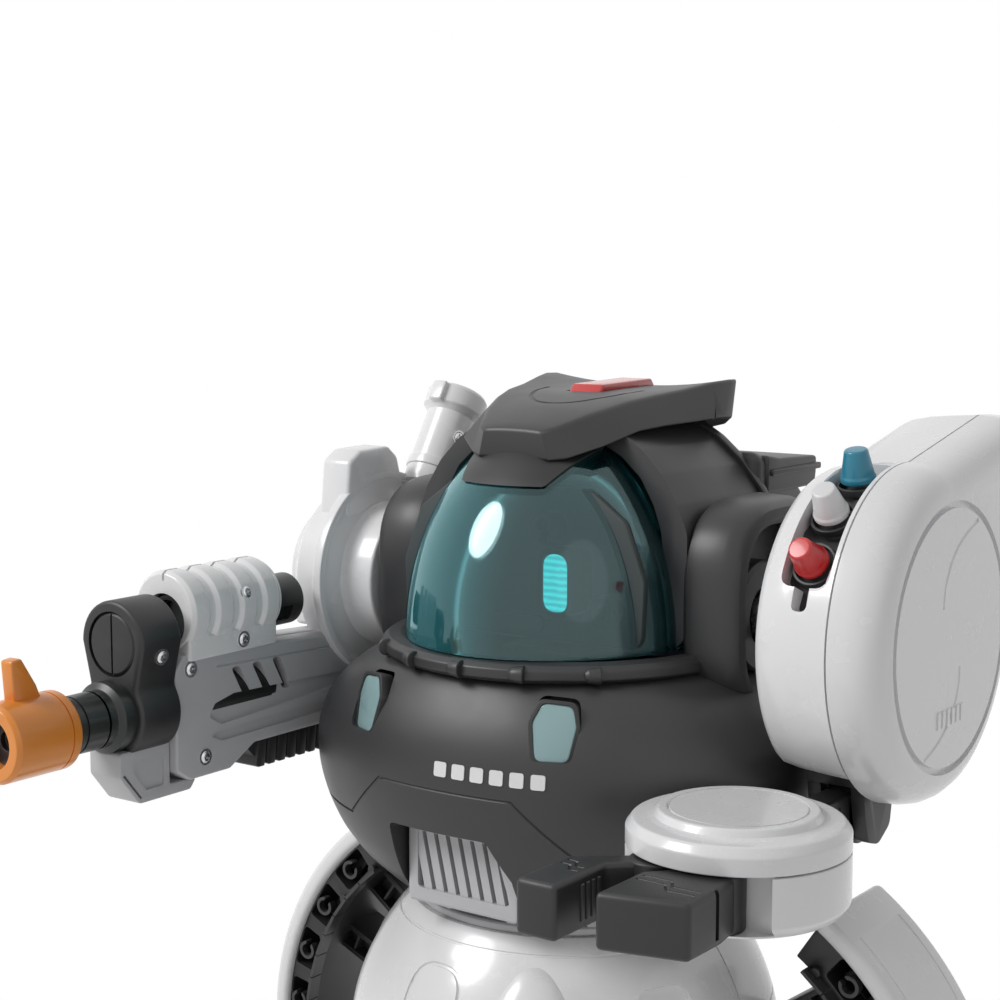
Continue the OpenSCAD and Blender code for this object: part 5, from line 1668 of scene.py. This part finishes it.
def buildWheel(side, end, body, node):
    x, y = side * 120, end * 40
    tyre = turned("tyre", roundCorners([(2.05, x - 5), (4.4, x - 5), (5, x - 6), (9.2, x - 6),
                                        (11.3, x - 5.4), (11.3, x + 5.4),
                                        (9.2, x + 6), (5, x + 6), (4.4, x + 5), (2.05, x + 5), (2.05, x - 5)],
                                       0.5, 3, False),
                  "X", (0, y, 12), 64)
    knob = bevelled(box("tread", (11.0, -0.8, -5.2), (12.0, 0.8, 5.2)), 0.25, 1)
    treads = repeated("treads", knob, finishes["rubber"], Count=24, Sweep=math.radians(15))
    treads = moved(treads, Matrix.Translation((x, y, 12)) @ Matrix.Rotation(math.radians(90), 4, "Y"))
    finish(joined("wheel" + body.title().replace("_", ""), [tyre, treads]), body, "wheel_rubber",
           finishes["rubber"], node)


# chest trim

def buildGrille():
    outline = roundCorners([(-21.7, 131), (21.7, 131), (21.7, 146), (15.6, 158.2), (-21.7, 158.2)], [2, 2, 2,
        3, 3], 5)
    block = bevelled(slab("grille", outline, "Y", -57.8, -50.4), 1.2, 3)
    window = roundCorners([(-17.6, 136), (19, 136), (12.5, 154.6), (-17.6, 154.6)], 2, 5)
    block = carved(block, [slab("window", window, "Y", -60, -53.4)])
    vane = slab("vane", [(-1.55, 0), (1.55, 0), (-2.75, 19), (-5.85, 19)], "Y", -57.3, -53.2)
    vanes = moved(repeated("grilleVanes", vane, finishes["grey"], Count=8, Step=(4.75, 0, 0)),
                  Matrix.Translation((-13.6, 0, 135.8)))
    vanes = carved(vanes, [slab("vaneTrim",
                                roundCorners([(-18.5, 135), (20, 135), (13.2, 155.4), (-18.5, 155.4)], 2, 5),
                                "Y", -62, -45)],
                   "INTERSECT")
    finish(joined("chestGrille", [block, vanes]), "torso", "blaster_grey", finishes["grey"], "chest_grille")
    backing = slab("grilleBacking", window, "Y", -53.5, -53.1)
    finish(backing, "torso", "black_frame", finishes["black"])


def buildChestMarks():
    bars = []
    for k in range(6):
        x = 0.5 + 6.7 * k
        y = chestFrontY(x, 179.5)
        turn = math.atan2(chestFrontY(x + 1, 179.5) - chestFrontY(x - 1, 179.5), 2)
        lean = math.atan2(chestFrontY(x, 181.5) - chestFrontY(x, 177.5), 4)
        bar = slab("mark", roundCorners([(-2.3, -2.3), (2.3, -2.3), (2.3, 2.3), (-2.3, 2.3)], 0.8, 3), "Y",
                   -0.25, 0.6)
        bars.append(moved(bar, Matrix.Translation((x, y, 179.5)) @ Matrix.Rotation(turn, 4, "Z") @
                          Matrix.Rotation(-lean, 4, "X")))
    finish(joined("chestMarks", bars), "torso", "button_white", finishes["buttonWhite"])


buildPelvis(pelvisShape)
buildNeck()
buildLegs()
buildFeet()
for side, end, body, node in ((1, -1, "front_left_wheel", "wheel_front_left"),
                              (1, 1, "rear_left_wheel", "wheel_rear_left"),
                              (-1, -1, "front_right_wheel", "wheel_front_right"),
                              (-1, 1, "rear_right_wheel", "wheel_rear_right")):
    buildWheel(side, end, body, node)
buildGrille()
buildChestMarks()
print("lower body and trim ready")
